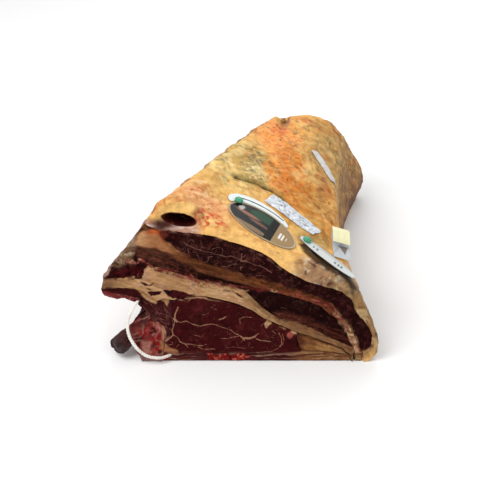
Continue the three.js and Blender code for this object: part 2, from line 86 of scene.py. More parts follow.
def noise(points, size, seed, octaves=1):
    """Smooth noise in -1..1, with bumps about size across, and finer ones for each octave."""
    total = np.zeros(len(points))
    for octave in range(octaves):
        scaled = points * (2 ** octave / size) + (seed + octave) * np.array([17.17, 5.31, 29.83])
        cell = np.floor(scaled).astype(np.int64)
        share = scaled - cell
        share = share * share * (3 - 2 * share)
        for corner in itertools.product((0, 1), repeat=3):
            weight = np.prod(np.where(corner, share, 1 - share), axis=1)
            total += weight * lattice(cell + corner) / 2 ** octave
    return total / (2 - 0.5 ** (octaves - 1))


def warped(points, size, amount, seed):
    """The points, each moved by noise, so that a mask read at them gets an uneven edge."""
    return points + amount * np.stack([noise(points, size, seed + i, 2) for i in range(3)], axis=1)


def blob(points, centre, radii, soft=0.35):
    """1 inside an ellipsoid, fading to 0 across its edge."""
    reach = np.linalg.norm((points - centre) / radii, axis=1)
    return step(1 + soft, 1 - soft, reach)


def line_distance(points, line):
    """Distance from each point to a broken line."""
    best = np.full(len(points), 1e3)
    for a, b in zip(np.array(line, float), np.array(line[1:], float)):
        along = b - a
        share = np.clip((points - a) @ along / (along @ along), 0, 1)
        best = np.minimum(best, np.linalg.norm(points - a - share[:, None] * along, axis=1))
    return best


def streaks(points, direction, length, width, seed, octaves=2):
    """Noise drawn out along a direction."""
    axis = np.array(direction) / np.linalg.norm(direction)
    along = points @ axis
    squeezed = points + axis * (along * (width / length - 1))[:, None]
    return noise(squeezed, width, seed, octaves)


def marble(points, size, seed):
    """1 on thin, wandering lines about size apart, falling to below 0 between them."""
    return 1 - 4 * np.abs(noise(warped(points, size * 1.6, size * 0.9, seed), size, seed + 9, 2))


def region(flat, outline, soft=1.0):
    """1 inside an outline of x, z points, fading to 0 across its edge."""
    closed = np.array([*outline, outline[0]], float)
    inside = np.zeros(len(flat), bool)
    for a, b in zip(closed, closed[1:]):
        if a[1] != b[1]:
            crossing = (a[1] > flat[:, 1]) != (b[1] > flat[:, 1])
            inside ^= crossing & (flat[:, 0] < a[0] + (flat[:, 1] - a[1]) * (b[0] - a[0]) / (b[1] - a[1]))
    distance = line_distance(flat, closed)
    return step(-soft, soft, np.where(inside, distance, -distance))


# Fine meshes

def split_faces(faces, middles):
    """Cuts each triangle by the new middle points of its sides, where -1 means an uncut side."""
    count = (middles >= 0).sum(axis=1)
    parts = [np.flatnonzero(count == 0)]
    rows = [faces[parts[0]]]
    for cuts in (1, 2, 3):
        for turn in range(3 if cuts < 3 else 1):
            a, b, c = (faces[:, (turn + i) % 3] for i in range(3))
            ab, bc, ca = (middles[:, (turn + i) % 3] for i in range(3))
            if cuts == 1:
                pick = (count == 1) & (ab >= 0)
                made = [(a, ab, c), (ab, b, c)]
            elif cuts == 2:
                pick = (count == 2) & (ca < 0)
                made = [(ab, b, bc), (a, ab, bc), (a, bc, c)]
            else:
                pick = count == 3
                made = [(a, ab, ca), (ab, b, bc), (ca, bc, c), (ab, bc, ca)]
            index = np.flatnonzero(pick)
            for triangle in made:
                rows.append(np.stack([corner[index] for corner in triangle], axis=1))
                parts.append(index)
    return np.vstack(rows), np.concatenate(parts)


def edges_of(faces):
    """Each edge once as a pair of vertices, and the three edges of each face."""
    ends = np.sort(faces[:, [0, 1, 1, 2, 2, 0]].reshape(-1, 2), axis=1).astype(np.int64)
    keys, inverse = np.unique(ends[:, 0] * (1 << 32) + ends[:, 1], return_inverse=True)
    return np.stack([keys >> 32, keys & 0xFFFFFFFF], axis=1), inverse.reshape(-1, 3)


def refine(points, faces, kinds, limit_of):
    """Halves edges until none is longer than the limit of a face beside it."""
    for _ in range(12):
        edges, of_face = edges_of(faces)
        length = np.linalg.norm(points[edges[:, 0], :3] - points[edges[:, 1], :3], axis=1)
        limit = limit_of(points[faces].mean(axis=1), kinds)
        split = np.zeros(len(edges), bool)
        split[of_face[length[of_face] > limit[:, None]]] = True
        if not split.any():
            break
        longest = np.take_along_axis(of_face, length[of_face].argmax(axis=1)[:, None], axis=1)[:, 0]
        for _ in range(20):
            wanted = longest[split[of_face].any(axis=1)]
            if split[wanted].all():
                break
            split[wanted] = True
        index = np.full(len(edges), -1)
        index[split] = len(points) + np.arange(split.sum())
        points = np.vstack([points, points[edges[split]].mean(axis=1)])
        faces, parents = split_faces(faces, index[of_face])
        kinds = kinds[parents]
    return points, faces, kinds


def even_out(points, faces, free, rounds):
    """Evens out the free vertices without shrinking the form."""
    edges, _ = edges_of(faces)
    ends = np.concatenate([edges[:, 0], edges[:, 1]])
    others = np.concatenate([edges[:, 1], edges[:, 0]])
    number = np.maximum(np.bincount(ends, minlength=len(points)), 1)
    for _ in range(rounds):
        for strength in (0.5, -0.52):
            for axis in range(3):
                middle = np.bincount(ends, points[others, axis], len(points)) / number
                points[:, axis] += np.where(free, strength * (middle - points[:, axis]), 0)


def normals_of(points, faces):
    a, b, c = (points[faces[:, i], :3] for i in range(3))
    cross = np.cross(b - a, c - a)
    total = np.stack([sum(np.bincount(faces[:, i], cross[:, axis], len(points)) for i in range(3))
                      for axis in range(3)], axis=1)
    return total / np.maximum(np.linalg.norm(total, axis=1), 1e-9)[:, None]


def cad_mesh(name):
    """Vertices in millimetres and triangles of a node, with equal vertices merged."""
    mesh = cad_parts[name].data
    mesh.calc_loop_triangles()
    places = np.empty(len(mesh.vertices) * 3, np.float32)
    mesh.vertices.foreach_get("co", places)
    corners = np.empty(len(mesh.loop_triangles) * 3, np.int32)
    mesh.loop_triangles.foreach_get("vertices", corners)
    points, index = np.unique(np.round(places.reshape(-1, 3).astype(float) * MM, 3), axis=0, return_inverse=True)
    faces = index.reshape(-1)[corners.reshape(-1, 3)]
    distinct = (faces[:, 0] != faces[:, 1]) & (faces[:, 1] != faces[:, 2]) & (faces[:, 0] != faces[:, 2])
    return points, faces[distinct]


def front_depth(points):
    return points[:, 1] - FRONT_Y - points[:, 2] * FRONT_LEAN


def rear_depth(points):
    return REAR_Y + points[:, 2] * REAR_LEAN - points[:, 1]


trees = {name: BVHTree.FromPolygons(*(part.tolist() for part in cad_mesh(name))) for name in LAYERS}


def kinds_of(name, points, faces):
    """Sorts the faces of a layer into cut ends, underside, outer skin and what its neighbours hide."""
    middle = points[faces].mean(axis=1)[:, :3]
    normal = np.cross(points[faces[:, 1], :3] - points[faces[:, 0], :3],
                      points[faces[:, 2], :3] - points[faces[:, 0], :3])
    normal /= np.maximum(np.linalg.norm(normal, axis=1), 1e-9)[:, None]
    kinds = np.full(len(faces), SKIN)
    kinds[(middle[:, 2] < 12) & (normal[:, 2] < -0.6)] = UNDER
    for i, place in enumerate(middle.tolist()):
        for other in LAYERS:
            if other != name and trees[other].find_nearest(place, TOUCH)[0] is not None:
                kinds[i] = HIDDEN
                break
    kinds[front_depth(middle) < FRONT_DEPTH] = FRONT
    kinds[rear_depth(middle) < REAR_DEPTH] = REAR
    return kinds


def touching(faces, count, wanted):
    """Marks the vertices of the wanted faces."""
    marks = np.zeros(count, bool)
    marks[faces[wanted].ravel()] = True
    return marks


class Form:
    """A fine mesh in millimetres: places, normals, faces, colours and the distance to the nearest vein."""

    def __init__(self, points, faces):
        self.points = points
        self.faces = faces
        self.normals = normals_of(points, faces)
        self.paint = np.zeros((len(points), 3))
        self.vein = np.full(len(points), 9.0)

    def mix(self, colour, mask):
        """Lays a colour over the surface, as much as the mask says."""
        self.paint += (linear(colour) - self.paint) * np.clip(mask, 0, 1)[:, None]

    def shade(self, mask):
        """Makes the colour lighter above 1 and darker below it."""
        self.paint *= np.clip(mask, 0, 4)[:, None]


def layer_form(name, relief, veins=()):
    """The fine form of a layer. relief(form) gives how far each vertex stands out."""
    points, faces = cad_mesh(name)
    points, faces, kinds = refine(points, faces, np.zeros(len(faces), int), lambda middle, _: np.full(len(middle), 9.0))
    kinds = kinds_of(name, points, faces)
    points = np.hstack([points, points])
    for level in LEVELS:
        def limit_of(middle, kind):
            limit = np.array([EDGE_LIMIT[k] for k in range(5)])[kind]
            if level == 0 and veins:
                front = np.flatnonzero(kind == FRONT)
                near = vein_distance(middle[front, :3], veins) < 2.2
                limit[front[near]] = VEIN_EDGE
            return np.maximum(limit, level)

        points, faces, kinds = refine(points, faces, kinds, limit_of)
        fixed = touching(faces, len(points), kinds == HIDDEN)
        if level:
            fixed |= touching(faces, len(points), (kinds == FRONT) | (kinds == REAR) | (kinds == UNDER))
        even_out(points, faces, ~fixed, 3 if level else 2)
    form = Form(points[:, :3], faces)
    form.flat = points[:, 3:]
    form.kinds = kinds
    form.front = touching(faces, len(points), kinds == FRONT)
    form.rear = touching(faces, len(points), kinds == REAR)
    form.under = touching(faces, len(points), kinds == UNDER)
    form.hidden = touching(faces, len(points), kinds == HIDDEN)
    form.cut = form.front & (form.normals[:, 1] < -0.45)
    if veins:
        near = np.flatnonzero(form.front)
        form.vein[near] = vein_distance(form.points[near], veins)
    side = step(-0.1, -0.6, form.normals[:, 0]) * (3.2 * noise(form.points, 21, 18, 2) + 1.0 * noise(form.points, 7, 20))
    height = np.where(form.hidden, 0, relief(form) + side) + GROW
    form.points = form.points + form.normals * height[:, None]
    form.points[:, 2] = np.maximum(form.points[:, 2], 0)
    return form


def vein_distance(points, veins):
    """Distance in the front cut to the edge of the nearest vein, given as width and x, z points."""
    flat = points[:, [0, 2]]
    flat = flat + 0.9 * np.stack([noise(points, 6, 40 + i, 2) for i in range(2)], axis=1)
    best = np.full(len(points), 9.0)
    swell = 1 + 0.45 * noise(points, 6, 44)
    for width, line in veins:
        low, high = np.min(line, axis=0) - VEIN_REACH, np.max(line, axis=0) + VEIN_REACH
        near = np.flatnonzero(((flat > low) & (flat < high)).all(axis=1))
        best[near] = np.minimum(best[near], line_distance(flat[near], line) - swell[near] * width / 2)
    return best


def new_object(name, points, faces, node, material, smooth=True):
    """A piece from a mesh in millimetres, which rides on the body and stands for a node."""
    mesh = bpy.data.meshes.new(name)
    mesh.vertices.add(len(points))
    mesh.vertices.foreach_set("co", (points / MM).astype(np.float32).ravel())
    mesh.loops.add(faces.size)
    mesh.loops.foreach_set("vertex_index", faces.astype(np.int32).ravel())
    mesh.polygons.add(len(faces))
    mesh.polygons.foreach_set("loop_start", np.arange(0, faces.size, 3, dtype=np.int32))
    mesh.update(calc_edges=True)
    if smooth:
        mesh.shade_smooth()
    mesh.materials.append(material)
    piece = bpy.data.objects.new(name, mesh)
    bpy.context.scene.collection.objects.link(piece)
    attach(piece, "root")
    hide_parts(node)
    return piece


def show(form, node, material):
    """Makes the piece of a form, with its colours and vein distances as attributes."""
    piece = new_object(node + "_fine", form.points, form.faces, node, material)
    paint = piece.data.attributes.new("paint", "FLOAT_COLOR", "POINT")
    rows = np.hstack([np.clip(form.paint, 0, 1), np.ones((len(form.paint), 1))])
    paint.data.foreach_set("color", rows.astype(np.float32).ravel())
    vein = piece.data.attributes.new("vein", "FLOAT", "POINT")
    vein.data.foreach_set("value", form.vein.astype(np.float32))
    return piece


# Materials

def add(tree, kind, inputs=None, **settings):
    """A node with its settings, whose inputs are values or other nodes' sockets."""
    made = tree.nodes.new(kind)
    for key, value in settings.items():
        setattr(made, key, value)
    for key, value in (inputs or {}).items():
        if isinstance(value, bpy.types.NodeSocket):
            tree.links.new(value, made.inputs[key])
        else:
            made.inputs[key].default_value = value
    return made


def ranged(tree, value, low, high, to_low, to_high):
    inputs = {"Value": value, "From Min": low, "From Max": high, "To Min": to_low, "To Max": to_high}
    return add(tree, "ShaderNodeMapRange", inputs).outputs["Result"]


def grain(tree, place, scale, detail=3.0):
    inputs = {"Vector": place, "Scale": scale, "Detail": detail, "Roughness": 0.6}
    return add(tree, "ShaderNodeTexNoise", inputs).outputs["Fac"]


def blended(tree, factor, a, b, mode="MIX"):
    made = add(tree, "ShaderNodeMix", data_type="RGBA", blend_type=mode)
    for key, value in ((0, factor), (6, a), (7, b)):
        if isinstance(value, bpy.types.NodeSocket):
            tree.links.new(value, made.inputs[key])
        else:
            made.inputs[key].default_value = value
    return made.outputs[2]


def painted_material(name, mottle, roughness, bump, shine, stretch=(1, 1, 1), vein=None, web=0.0, fleck=None):
    """A material that takes its colour from the surface's paint and adds grain, veins, flecks and relief.

    mottle is the depth of the colour's grain, roughness its lowest and highest value, and bump the depth
    of the fine relief in metres. vein and fleck are colours, and web is the share of fine marbling.
    """
    material = bpy.data.materials.new(name)
    material.use_nodes = True
    tree = material.node_tree
    shader = tree.nodes["Principled BSDF"]
    place = add(tree, "ShaderNodeTexCoord").outputs["Object"]
    drawn = add(tree, "ShaderNodeMapping", {"Vector": place, "Scale": stretch}).outputs["Vector"]
    coarse = grain(tree, drawn, 110.0)
    fine = grain(tree, drawn, 650.0, 4.0)
    colour = add(tree, "ShaderNodeAttribute", attribute_name="paint").outputs["Color"]
    for source, depth in ((coarse, mottle), (fine, mottle * 0.8)):
        tone = ranged(tree, source, 0.3, 0.7, 1 - depth, 1 + depth)
        grey = add(tree, "ShaderNodeCombineColor", {"Red": tone, "Green": tone, "Blue": tone}).outputs["Color"]
        colour = blended(tree, 1.0, colour, grey, "MULTIPLY")
    height = add(tree, "ShaderNodeMath", {0: coarse, 1: fine}, operation="ADD").outputs["Value"]
    if fleck:
        speck = add(tree, "ShaderNodeTexVoronoi", {"Vector": drawn, "Scale": 420.0}).outputs["Distance"]
        thin = add(tree, "ShaderNodeMath", {0: speck, 1: grain(tree, place, 60.0)}, operation="ADD")
        mask = ranged(tree, thin.outputs["Value"], 0.42, 0.52, 0.75, 0.0)
        colour = blended(tree, mask, colour, (*linear(fleck), 1.0))
    if vein:
        distance = add(tree, "ShaderNodeAttribute", attribute_name="vein").outputs["Fac"]
        ragged = ranged(tree, fine, 0.3, 0.7, -0.5, 0.5)
        edge = add(tree, "ShaderNodeMath", {0: distance, 1: ragged}, operation="ADD").outputs["Value"]
        mask = ranged(tree, edge, -0.7, 0.15, 0.9, 0.0)
        tone = blended(tree, coarse, (*linear(vein), 1.0), (*linear([c * 0.8 for c in vein]), 1.0))
        colour = blended(tree, mask, colour, tone)
    if web:
        threads = grain(tree, drawn, 170.0, 1.5)
        off = add(tree, "ShaderNodeMath", {0: threads, 1: 0.5}, operation="SUBTRACT").outputs["Value"]
        off = add(tree, "ShaderNodeMath", {0: off}, operation="ABSOLUTE").outputs["Value"]
        patches = ranged(tree, grain(tree, place, 45.0), 0.45, 0.65, 0.0, web)
        line = ranged(tree, off, 0.0, 0.022, 1.0, 0.0)
        mask = add(tree, "ShaderNodeMath", {0: line, 1: patches}, operation="MULTIPLY").outputs["Value"]
        colour = blended(tree, mask, colour, (*linear(vein), 1.0))
    relief = add(tree, "ShaderNodeBump", {"Height": height, "Strength": 0.8, "Distance": bump})
    tree.links.new(colour, shader.inputs["Base Color"])
    tree.links.new(relief.outputs["Normal"], shader.inputs["Normal"])
    tree.links.new(ranged(tree, coarse, 0.3, 0.7, *roughness), shader.inputs["Roughness"])
    shader.inputs["Specular IOR Level"].default_value = shine
    return material


FAT = painted_material("dried_fat", 0.16, (0.42, 0.62), 0.0009, 0.06, fleck=(120, 72, 40))
CREAM = painted_material("seam_fat", 0.22, (0.38, 0.6), 0.0007, 0.04, (1, 1, 2.5), vein=(170, 132, 92))
DARK = painted_material("dry_muscle", 0.4, (0.38, 0.62), 0.0008, 0.02, (1, 1, 2.2), vein=(134, 88, 76), web=0.42)
RED = painted_material("moist_muscle", 0.26, (0.3, 0.5), 0.0005, 0.025, (1, 1, 2), vein=(172, 124, 96), web=0.14)
BONE = painted_material("sawn_bone", 0.3, (0.4, 0.6), 0.0009, 0.05, vein=(205, 170, 150))
STUMP = painted_material("dried_bone", 0.35, (0.5, 0.8), 0.001, 0.2)
CARD = painted_material("glossy_card", 0.03, (0.25, 0.35), 0.00005, 0.12)
PAPER = painted_material("label_paper", 0.07, (0.5, 0.65), 0.0002, 0.2)
COTTON = painted_material("cotton_string", 0.08, (0.75, 0.9), 0.0001, 0.2)
PLASTIC = painted_material("pin_plastic", 0.03, (0.3, 0.4), 0.00003, 0.25)

# Veins on the front cut: width, then x, z points
EYE_VEINS = [
    (1.9, [(-89, 72), (-92, 66), (-93, 61), (-93, 55), (-95, 48), (-97, 41), (-96, 36), (-101, 31), (-107, 26)]),
    (3.4, [(-94, 57), (-91, 53)]),
    (1.2, [(-92, 54), (-86, 52), (-80, 54), (-73, 51), (-63, 47), (-56, 49), (-46, 50), (-37, 47), (-25, 43),
           (-18, 38), (-10, 33)]),
    (3.2, [(-9, 32), (-1, 31), (6, 34)]),
    (1.8, [(-12, 34), (-9, 32), (-7, 29)]),
    (1.8, [(4, 33), (11, 38)]),
    (1.4, [(-8, 31), (-11, 27)]),
    (1.4, [(8, 31), (14, 28), (26, 27)]),
    (1.1, [(-96, 36), (-91, 33), (-87, 27), (-80, 24), (-74, 24), (-66, 22), (-60, 22), (-55, 24)]),
    (0.9, [(-65, 20), (-57, 17), (-44, 17)]),
    (0.9, [(-102, 23), (-97, 24), (-98, 27)]),
    (0.8, [(-92, 20), (-89, 23)]),
    (0.8, [(-81, 24), (-78, 20), (-80, 22)]),
    (1.8, [(-38, 56), (-30, 59)]),
    (0.7, [(-37, 31), (-30, 31), (-21, 33), (-14, 34)]),
    (0.9, [(-12, 51), (-13, 55), (-12, 58), (-5, 60), (2, 59)]),
    (2.4, [(24, 57), (20, 47)]),
    (1.0, [(28, 41), (33, 37)]),
    (1.3, [(36, 38), (40, 31), (40, 24), (37, 20)]),
    (0.8, [(40, 37), (43, 30), (41, 22)]),
    (0.7, [(8, 12), (17, 14), (27, 14), (35, 18)]),
    (0.8, [(-98, 83), (-87, 81), (-79, 80)]),
    (1.2, [(-78, 79), (-73, 83), (-65, 85), (-58, 84), (-53, 82)]),
    (0.6, [(-60, 62), (-52, 64)]),
    (0.6, [(-70, 36), (-61, 33), (-58, 36)]),
    (0.6, [(-48, 72), (-41, 69)]),
    (0.6, [(14, 48), (17, 52)]),
    (0.6, [(-30, 19), (-18, 20), (-6, 18)]),
]
UPPER_VEINS = [
    (1.2, [(-81, 151), (-74, 146), (-68, 144), (-61, 142), (-54, 139), (-47, 138), (-41, 136), (-35, 135),
           (-29, 133), (-23, 134), (-17, 132), (-11, 129), (-4, 127), (3, 124), (9, 122), (16, 119), (27, 113)]),
    (0.8, [(-47, 138), (-46, 142), (-44, 144), (-41, 145), (-35, 144), (-33, 141), (-34, 136)]),
    (1.8, [(-10, 136), (-10, 132), (-11, 128), (-5, 128)]),
    (1.0, [(-9, 132), (-6, 135)]),
    (0.8, [(-77, 152), (-74, 154), (-70, 154), (-68, 151)]),
    (0.7, [(-76, 144), (-75, 138), (-78, 136), (-82, 138)]),
    (0.7, [(-70, 139), (-65, 138), (-62, 131), (-61, 128)]),
    (0.7, [(-60, 153), (-59, 149), (-57, 147), (-60, 145), (-54, 145)]),
    (0.7, [(-65, 147), (-64, 144)]),
    (0.9, [(-46, 133), (-50, 133), (-51, 130), (-51, 127), (-57, 125)]),
    (0.8, [(-38, 126), (-42, 123)]),
    (1.0, [(-35, 120), (-27, 120), (-24, 122), (-20, 124), (-17, 123)]),
    (0.9, [(-12, 120), (-9, 120), (-12, 119), (-11, 116)]),
    (0.7, [(8, 109), (17, 109)]),
    (0.8, [(4, 136), (10, 131), (18, 124)]),
    (0.6, [(-90, 146), (-84, 142), (-80, 143)]),
    (0.6, [(-30, 128), (-24, 126), (-22, 129)]),
    (0.6, [(0, 118), (6, 116), (8, 119)]),
]
MIDDLE_VEINS = [
    (0.7, [(28, 62), (36, 59), (41, 60)]),
    (0.7, [(38, 68), (45, 66)]),
    (0.7, [(55, 56), (62, 52), (70, 51)]),
]
NECK_VEINS = [
    (0.4, [(-178, 85), (-160, 86), (-140, 82), (-128, 74)]),
    (0.3, [(-125, 76), (-118, 66), (-112, 58), (-110, 46)]),
    (0.3, [(-134, 72), (-124, 60), (-116, 52)]),
    (0.3, [(-107, 74), (-104, 64), (-104, 52), (-108, 40)]),
]
SEAM_OVER_EYE = [(-84, 82), (-66, 85), (-43, 81), (-19, 75), (0, 67), (20, 54), (40, 45), (60, 38)]

# Outlines on the front cut, as x, z points
CREAM_SEAM = [
    (-184, 101), (-166, 106), (-148, 108), (-133, 109), (-130, 118), (-124, 121), (-120, 120), (-114, 115),
    (-103, 112), (-90, 110), (-69, 104), (-55, 101), (-28, 95), (-11, 92), (-2, 90), (-7, 86), (-11, 81), (0, 77),
    (10, 69), (23, 59), (32, 54), (56, 49), (75, 41), (100, 28), (128, 8), (125, 4), (100, 23), (77, 35), (58, 42),
    (43, 44), (29, 52), (21, 45), (18, 52), (23, 56), (7, 69), (-11, 74), (-26, 78), (-37, 81), (-58, 85),
    (-69, 85), (-84, 90), (-93, 89), (-98, 81), (-100, 77), (-104, 72), (-107, 77), (-112, 81), (-116, 75),
    (-119, 76), (-124, 77), (-133, 83), (-136, 90), (-143, 94), (-158, 97), (-174, 98), (-185, 97),
]
DARK_BAND = [
    (-142, 146), (-129, 148), (-111, 144), (-97, 137), (-83, 127), (-65, 118), (-47, 111), (-26, 104), (-4, 97),
    (-29, 98), (-55, 104), (-76, 109), (-94, 115), (-112, 120), (-124, 127), (-138, 132), (-143, 138),
]
BROWN_SEAM = [
    (-93, 141), (-83, 138), (-68, 130), (-51, 123), (-29, 117), (-4, 108), (18, 103), (41, 97), (68, 89), (99, 74),
    (122, 50), (118, 44), (99, 66), (68, 80), (41, 90), (14, 95), (-8, 99), (-29, 106), (-47, 111), (-69, 119),
    (-86, 127), (-99, 134),
]
ORANGE_PATCH = [
    (-140, 151), (-136, 160), (-128, 166), (-119, 168), (-108, 167), (-110, 163), (-107, 158), (-102, 151),
    (-93, 144), (-84, 137), (-99, 140), (-111, 144), (-123, 147), (-132, 148),
]
PALE_CRUMBS = [(-173, 121), (-163, 131), (-156, 147), (-146, 153), (-138, 146), (-142, 138), (-147, 129), (-160, 121)]
LEFT_RIM = [(-187, 99), (-183, 108), (-175, 117), (-167, 128), (-160, 142), (-152, 151)]
RED_STREAK = [
    (-150, 126), (-135, 127), (-124, 123), (-117, 118), (-103, 115), (-83, 110), (-58, 102), (-28, 97), (-4, 93),
    (23, 92), (50, 89), (99, 71), (122, 44),
]
PALE_WEDGE = [(108, 54), (122, 53), (129, 37), (137, 20), (140, 6), (132, 4), (128, 21), (117, 40)]
BROWN_UNDER = [(37, 58), (65, 50), (92, 40), (112, 32), (126, 22)]
# Dark meat in the cream seam and at the left end of the cut
MEAT_SPOTS = [
    [(-171, 112), (-160, 119), (-148, 120), (-132, 119), (-130, 114), (-133, 112), (-162, 110)],
    [(-171, 107), (-161, 110), (-132, 112), (-133, 109), (-157, 106)],
    [(-135, 105), (-127, 103), (-122, 100), (-116, 102), (-121, 98), (-129, 99)],
    [(-129, 96), (-123, 93), (-120, 93), (-124, 95)],
    [(-125, 91), (-120, 92), (-108, 91), (-110, 88), (-118, 86), (-123, 87)],
    [(-107, 92), (-100, 93), (-84, 92), (-66, 87), (-76, 86), (-87, 81), (-95, 82), (-102, 87)],
    [(-119, 119), (-105, 117), (-110, 115)],
    [(-20, 89), (-12, 88), (-6, 84), (-14, 86)],
]
NECK_TOP = [(-186, 97), (-158, 96), (-140, 92), (-134, 86), (-149, 84), (-167, 87), (-186, 92)]
NECK_EDGE = [(-186, 92), (-167, 87), (-149, 84), (-138, 80), (-153, 78), (-165, 78), (-180, 76)]
RED_CHUNK = [(-54, 11), (-41, 7), (-32, 11), (-23, 7), (-13, 10), (2, 6), (-8, 0), (-23, -1), (-37, 0), (-51, 0)]
CHINE_FAT = [(-114, 27), (-107, 24), (-100, 19), (-91, 15), (-89, 9), (-98, 9), (-107, 12), (-113, 18)]
FRONT_SHADE_SHARE = 0.8  # share of colour kept on the cut face: a painted shade over the whole face, as it stands in full light


# The layers

def paint_cut(form):
    """The picture on the front cut, which runs on over the layers' edges and makes them ragged, under a painted shade
    that darkens the whole face.
    """
    index = np.flatnonzero(form.front)
    p = form.points[index]
    face = Form(p, np.zeros((1, 3), int))
    face.paint = form.paint[index]
    ragged = warped(p, 9, 2.0, 400)[:, [0, 2]] + 0.8 * np.stack([noise(p, 3, 404 + i) for i in range(2)], axis=1)
    fibre = streaks(warped(p, 14, 3, 406), (0.93, 0, -0.34), 46, 2.6, 408, 3)
    grit = noise(p, 3.2, 410, 2)
    crumb = streaks(warped(p, 6, 2, 411), (0.93, 0, -0.34), 7, 2.4, 412, 2)
    threads = marble(p, 6, 413)
    drawn = warped(p, 9, 3, 414)[:, [0, 2]]

    seam = region(ragged, BROWN_SEAM, 2.2)
    face.mix((112, 64, 36), seam * (0.9 + 0.3 * grit))
    face.mix((156, 92, 50), seam * step(0.0, 0.5, fibre) * 0.6)
    face.mix((54, 24, 17), seam * step(0.1, 0.5, -fibre) * 0.7)
    face.mix((70, 32, 22), seam * step(0.1, 0.45, grit) * 0.5)
    band = region(drawn, DARK_BAND, 3.0)
    face.mix((34, 10, 9), band * 0.92)
    face.mix((96, 54, 40), band * step(-90, -126, p[:, 0]) * 0.6)
    face.mix((120, 78, 50), band * step(0.15, 0.5, fibre) * step(-40, -130, p[:, 0]) * 0.4)
    face.mix((116, 58, 46), band * step(0.0, 0.4, grit) * step(-30, -110, p[:, 0]) * 0.6)
    face.mix((22, 8, 7), band * step(0.1, 0.4, -fibre) * 0.6)
    crumbs = region(ragged, PALE_CRUMBS, 3.0)
    face.mix((136, 102, 76), crumbs * 0.85)
    face.mix((226, 206, 174), crumbs * step(0.05, 0.5, noise(warped(p, 5, 2, 430), 5, 431, 3)) * 0.75)
    face.mix((48, 22, 18), crumbs * step(0.2, 0.45, -grit) * 0.8)
    patch = region(drawn, ORANGE_PATCH, 2.0)
    face.mix((176, 118, 76), patch * 0.9)
    face.mix((208, 158, 112), patch * step(-118, -134, p[:, 0]) * 0.7)
    face.mix((196, 90, 46), patch * step(4.5, 1, line_distance(drawn, [(-122, 166), (-108, 165), (-105, 157)])) * 0.9)
    cream = region(ragged, CREAM_SEAM, 1.1)
    face.mix((182, 136, 92), cream * 0.95)
    face.mix((216, 178, 130), cream * step(0.0, 0.45, fibre) * 0.5)
    face.mix((130, 84, 58), cream * step(0.1, 0.5, -fibre) * 0.45)
    face.mix((214, 164, 136), cream * step(0.0, 0.5, noise(warped(p, 8, 3, 434), 10, 435, 3)) * 0.5)
    face.mix((86, 46, 34), cream * step(-150, -176, p[:, 0]) * 0.7)
    tip = cream * step(10, 60, p[:, 0])
    face.mix((112, 72, 48), tip * 0.6)
    under = step(9, 2, line_distance(drawn, BROWN_UNDER))
    face.mix((92, 42, 30), under * step(-0.4, 0.3, fibre) * 0.75)
    face.mix((24, 7, 8), under * step(0.1, 0.5, -grit) * 0.5)
    wedge = region(ragged, PALE_WEDGE, 1.4)
    face.mix((150, 104, 76), wedge * 0.9)
    face.mix((206, 168, 130), wedge * step(-0.1, 0.4, grit) * 0.8)
    for outline in MEAT_SPOTS:
        face.mix((66, 12, 16), region(ragged, outline, 0.6))
        face.mix((26, 5, 7), region(ragged, outline, 0.6) * step(0.0, 0.4, grit))
    rim = step(5.5, 2.0, line_distance(drawn, LEFT_RIM))
    face.mix((186, 148, 134), rim * step(-0.5, 0.0, grit) * 0.85)
    streak = line_distance(drawn, RED_STREAK)
    wide = 3.2 + 1.4 * noise(p, 14, 416)
    red = step(wide, wide - 2.2, streak)
    face.mix((112, 40, 35), red * step(-0.35, 0.1, grit) * 0.8)
    face.mix((170, 92, 80), red * step(0.05, 0.4, crumb) * 0.7)
    face.mix((190, 158, 120), red * step(0.3, 0.9, threads) * step(-0.1, 0.3, noise(p, 16, 418)) * 0.6)
    face.mix((26, 8, 8), step(3.2, 0.5, np.abs(streak - wide - 1.2)) * step(0.0, 0.3, -grit) * step(-90, -60, p[:, 0]) * 0.6)
    face.mix((58, 12, 15), region(ragged, NECK_TOP, 1.6) * 0.95)
    edge = region(ragged, NECK_EDGE, 1.6)
    face.mix((122, 46, 46), edge * 0.85)
    face.mix((196, 140, 132), edge * step(0.1, 0.5, grit) * 0.5)

    stripe = streaks(warped(p, 12, 2, 420), (1, 0, 0.04), 44, 1.8, 422, 2)
    foot = step(15, 8, p[:, 2] + 1.6 * noise(p, 9, 424, 2))
    under_eye = foot * step(-106, -98, p[:, 0]) * step(66, 52, p[:, 0])
    face.mix((70, 28, 27), under_eye * 0.9)
    face.mix((150, 112, 96), under_eye * step(0.05, 0.35, stripe) * 0.85)
    face.mix((52, 14, 14), under_eye * step(0.1, 0.4, -stripe) * 0.8)
    right = foot * step(44, 70, p[:, 0])
    face.mix((128, 88, 56), right * 0.85)
    face.mix((172, 134, 92), right * step(0.1, 0.4, stripe) * 0.8)
    face.mix((80, 36, 28), right * step(0.1, 0.4, -stripe) * 0.8)
    chunk = region(ragged, RED_CHUNK, 1.4)
    face.mix((120, 20, 20), chunk * 0.9)
    face.mix((210, 104, 84), chunk * step(0.1, 0.4, grit) * 0.8)
    face.mix((60, 8, 10), chunk * step(0.15, 0.4, -grit) * 0.8)
    knob = region(ragged, CHINE_FAT, 1.5)
    face.mix((176, 118, 82), knob * 0.85)
    face.mix((112, 60, 44), knob * step(0.1, 0.4, -grit) * 0.7)
    # painted shade: the whole cut face is darkened by this share
    form.paint[index] = face.paint * FRONT_SHADE_SHARE


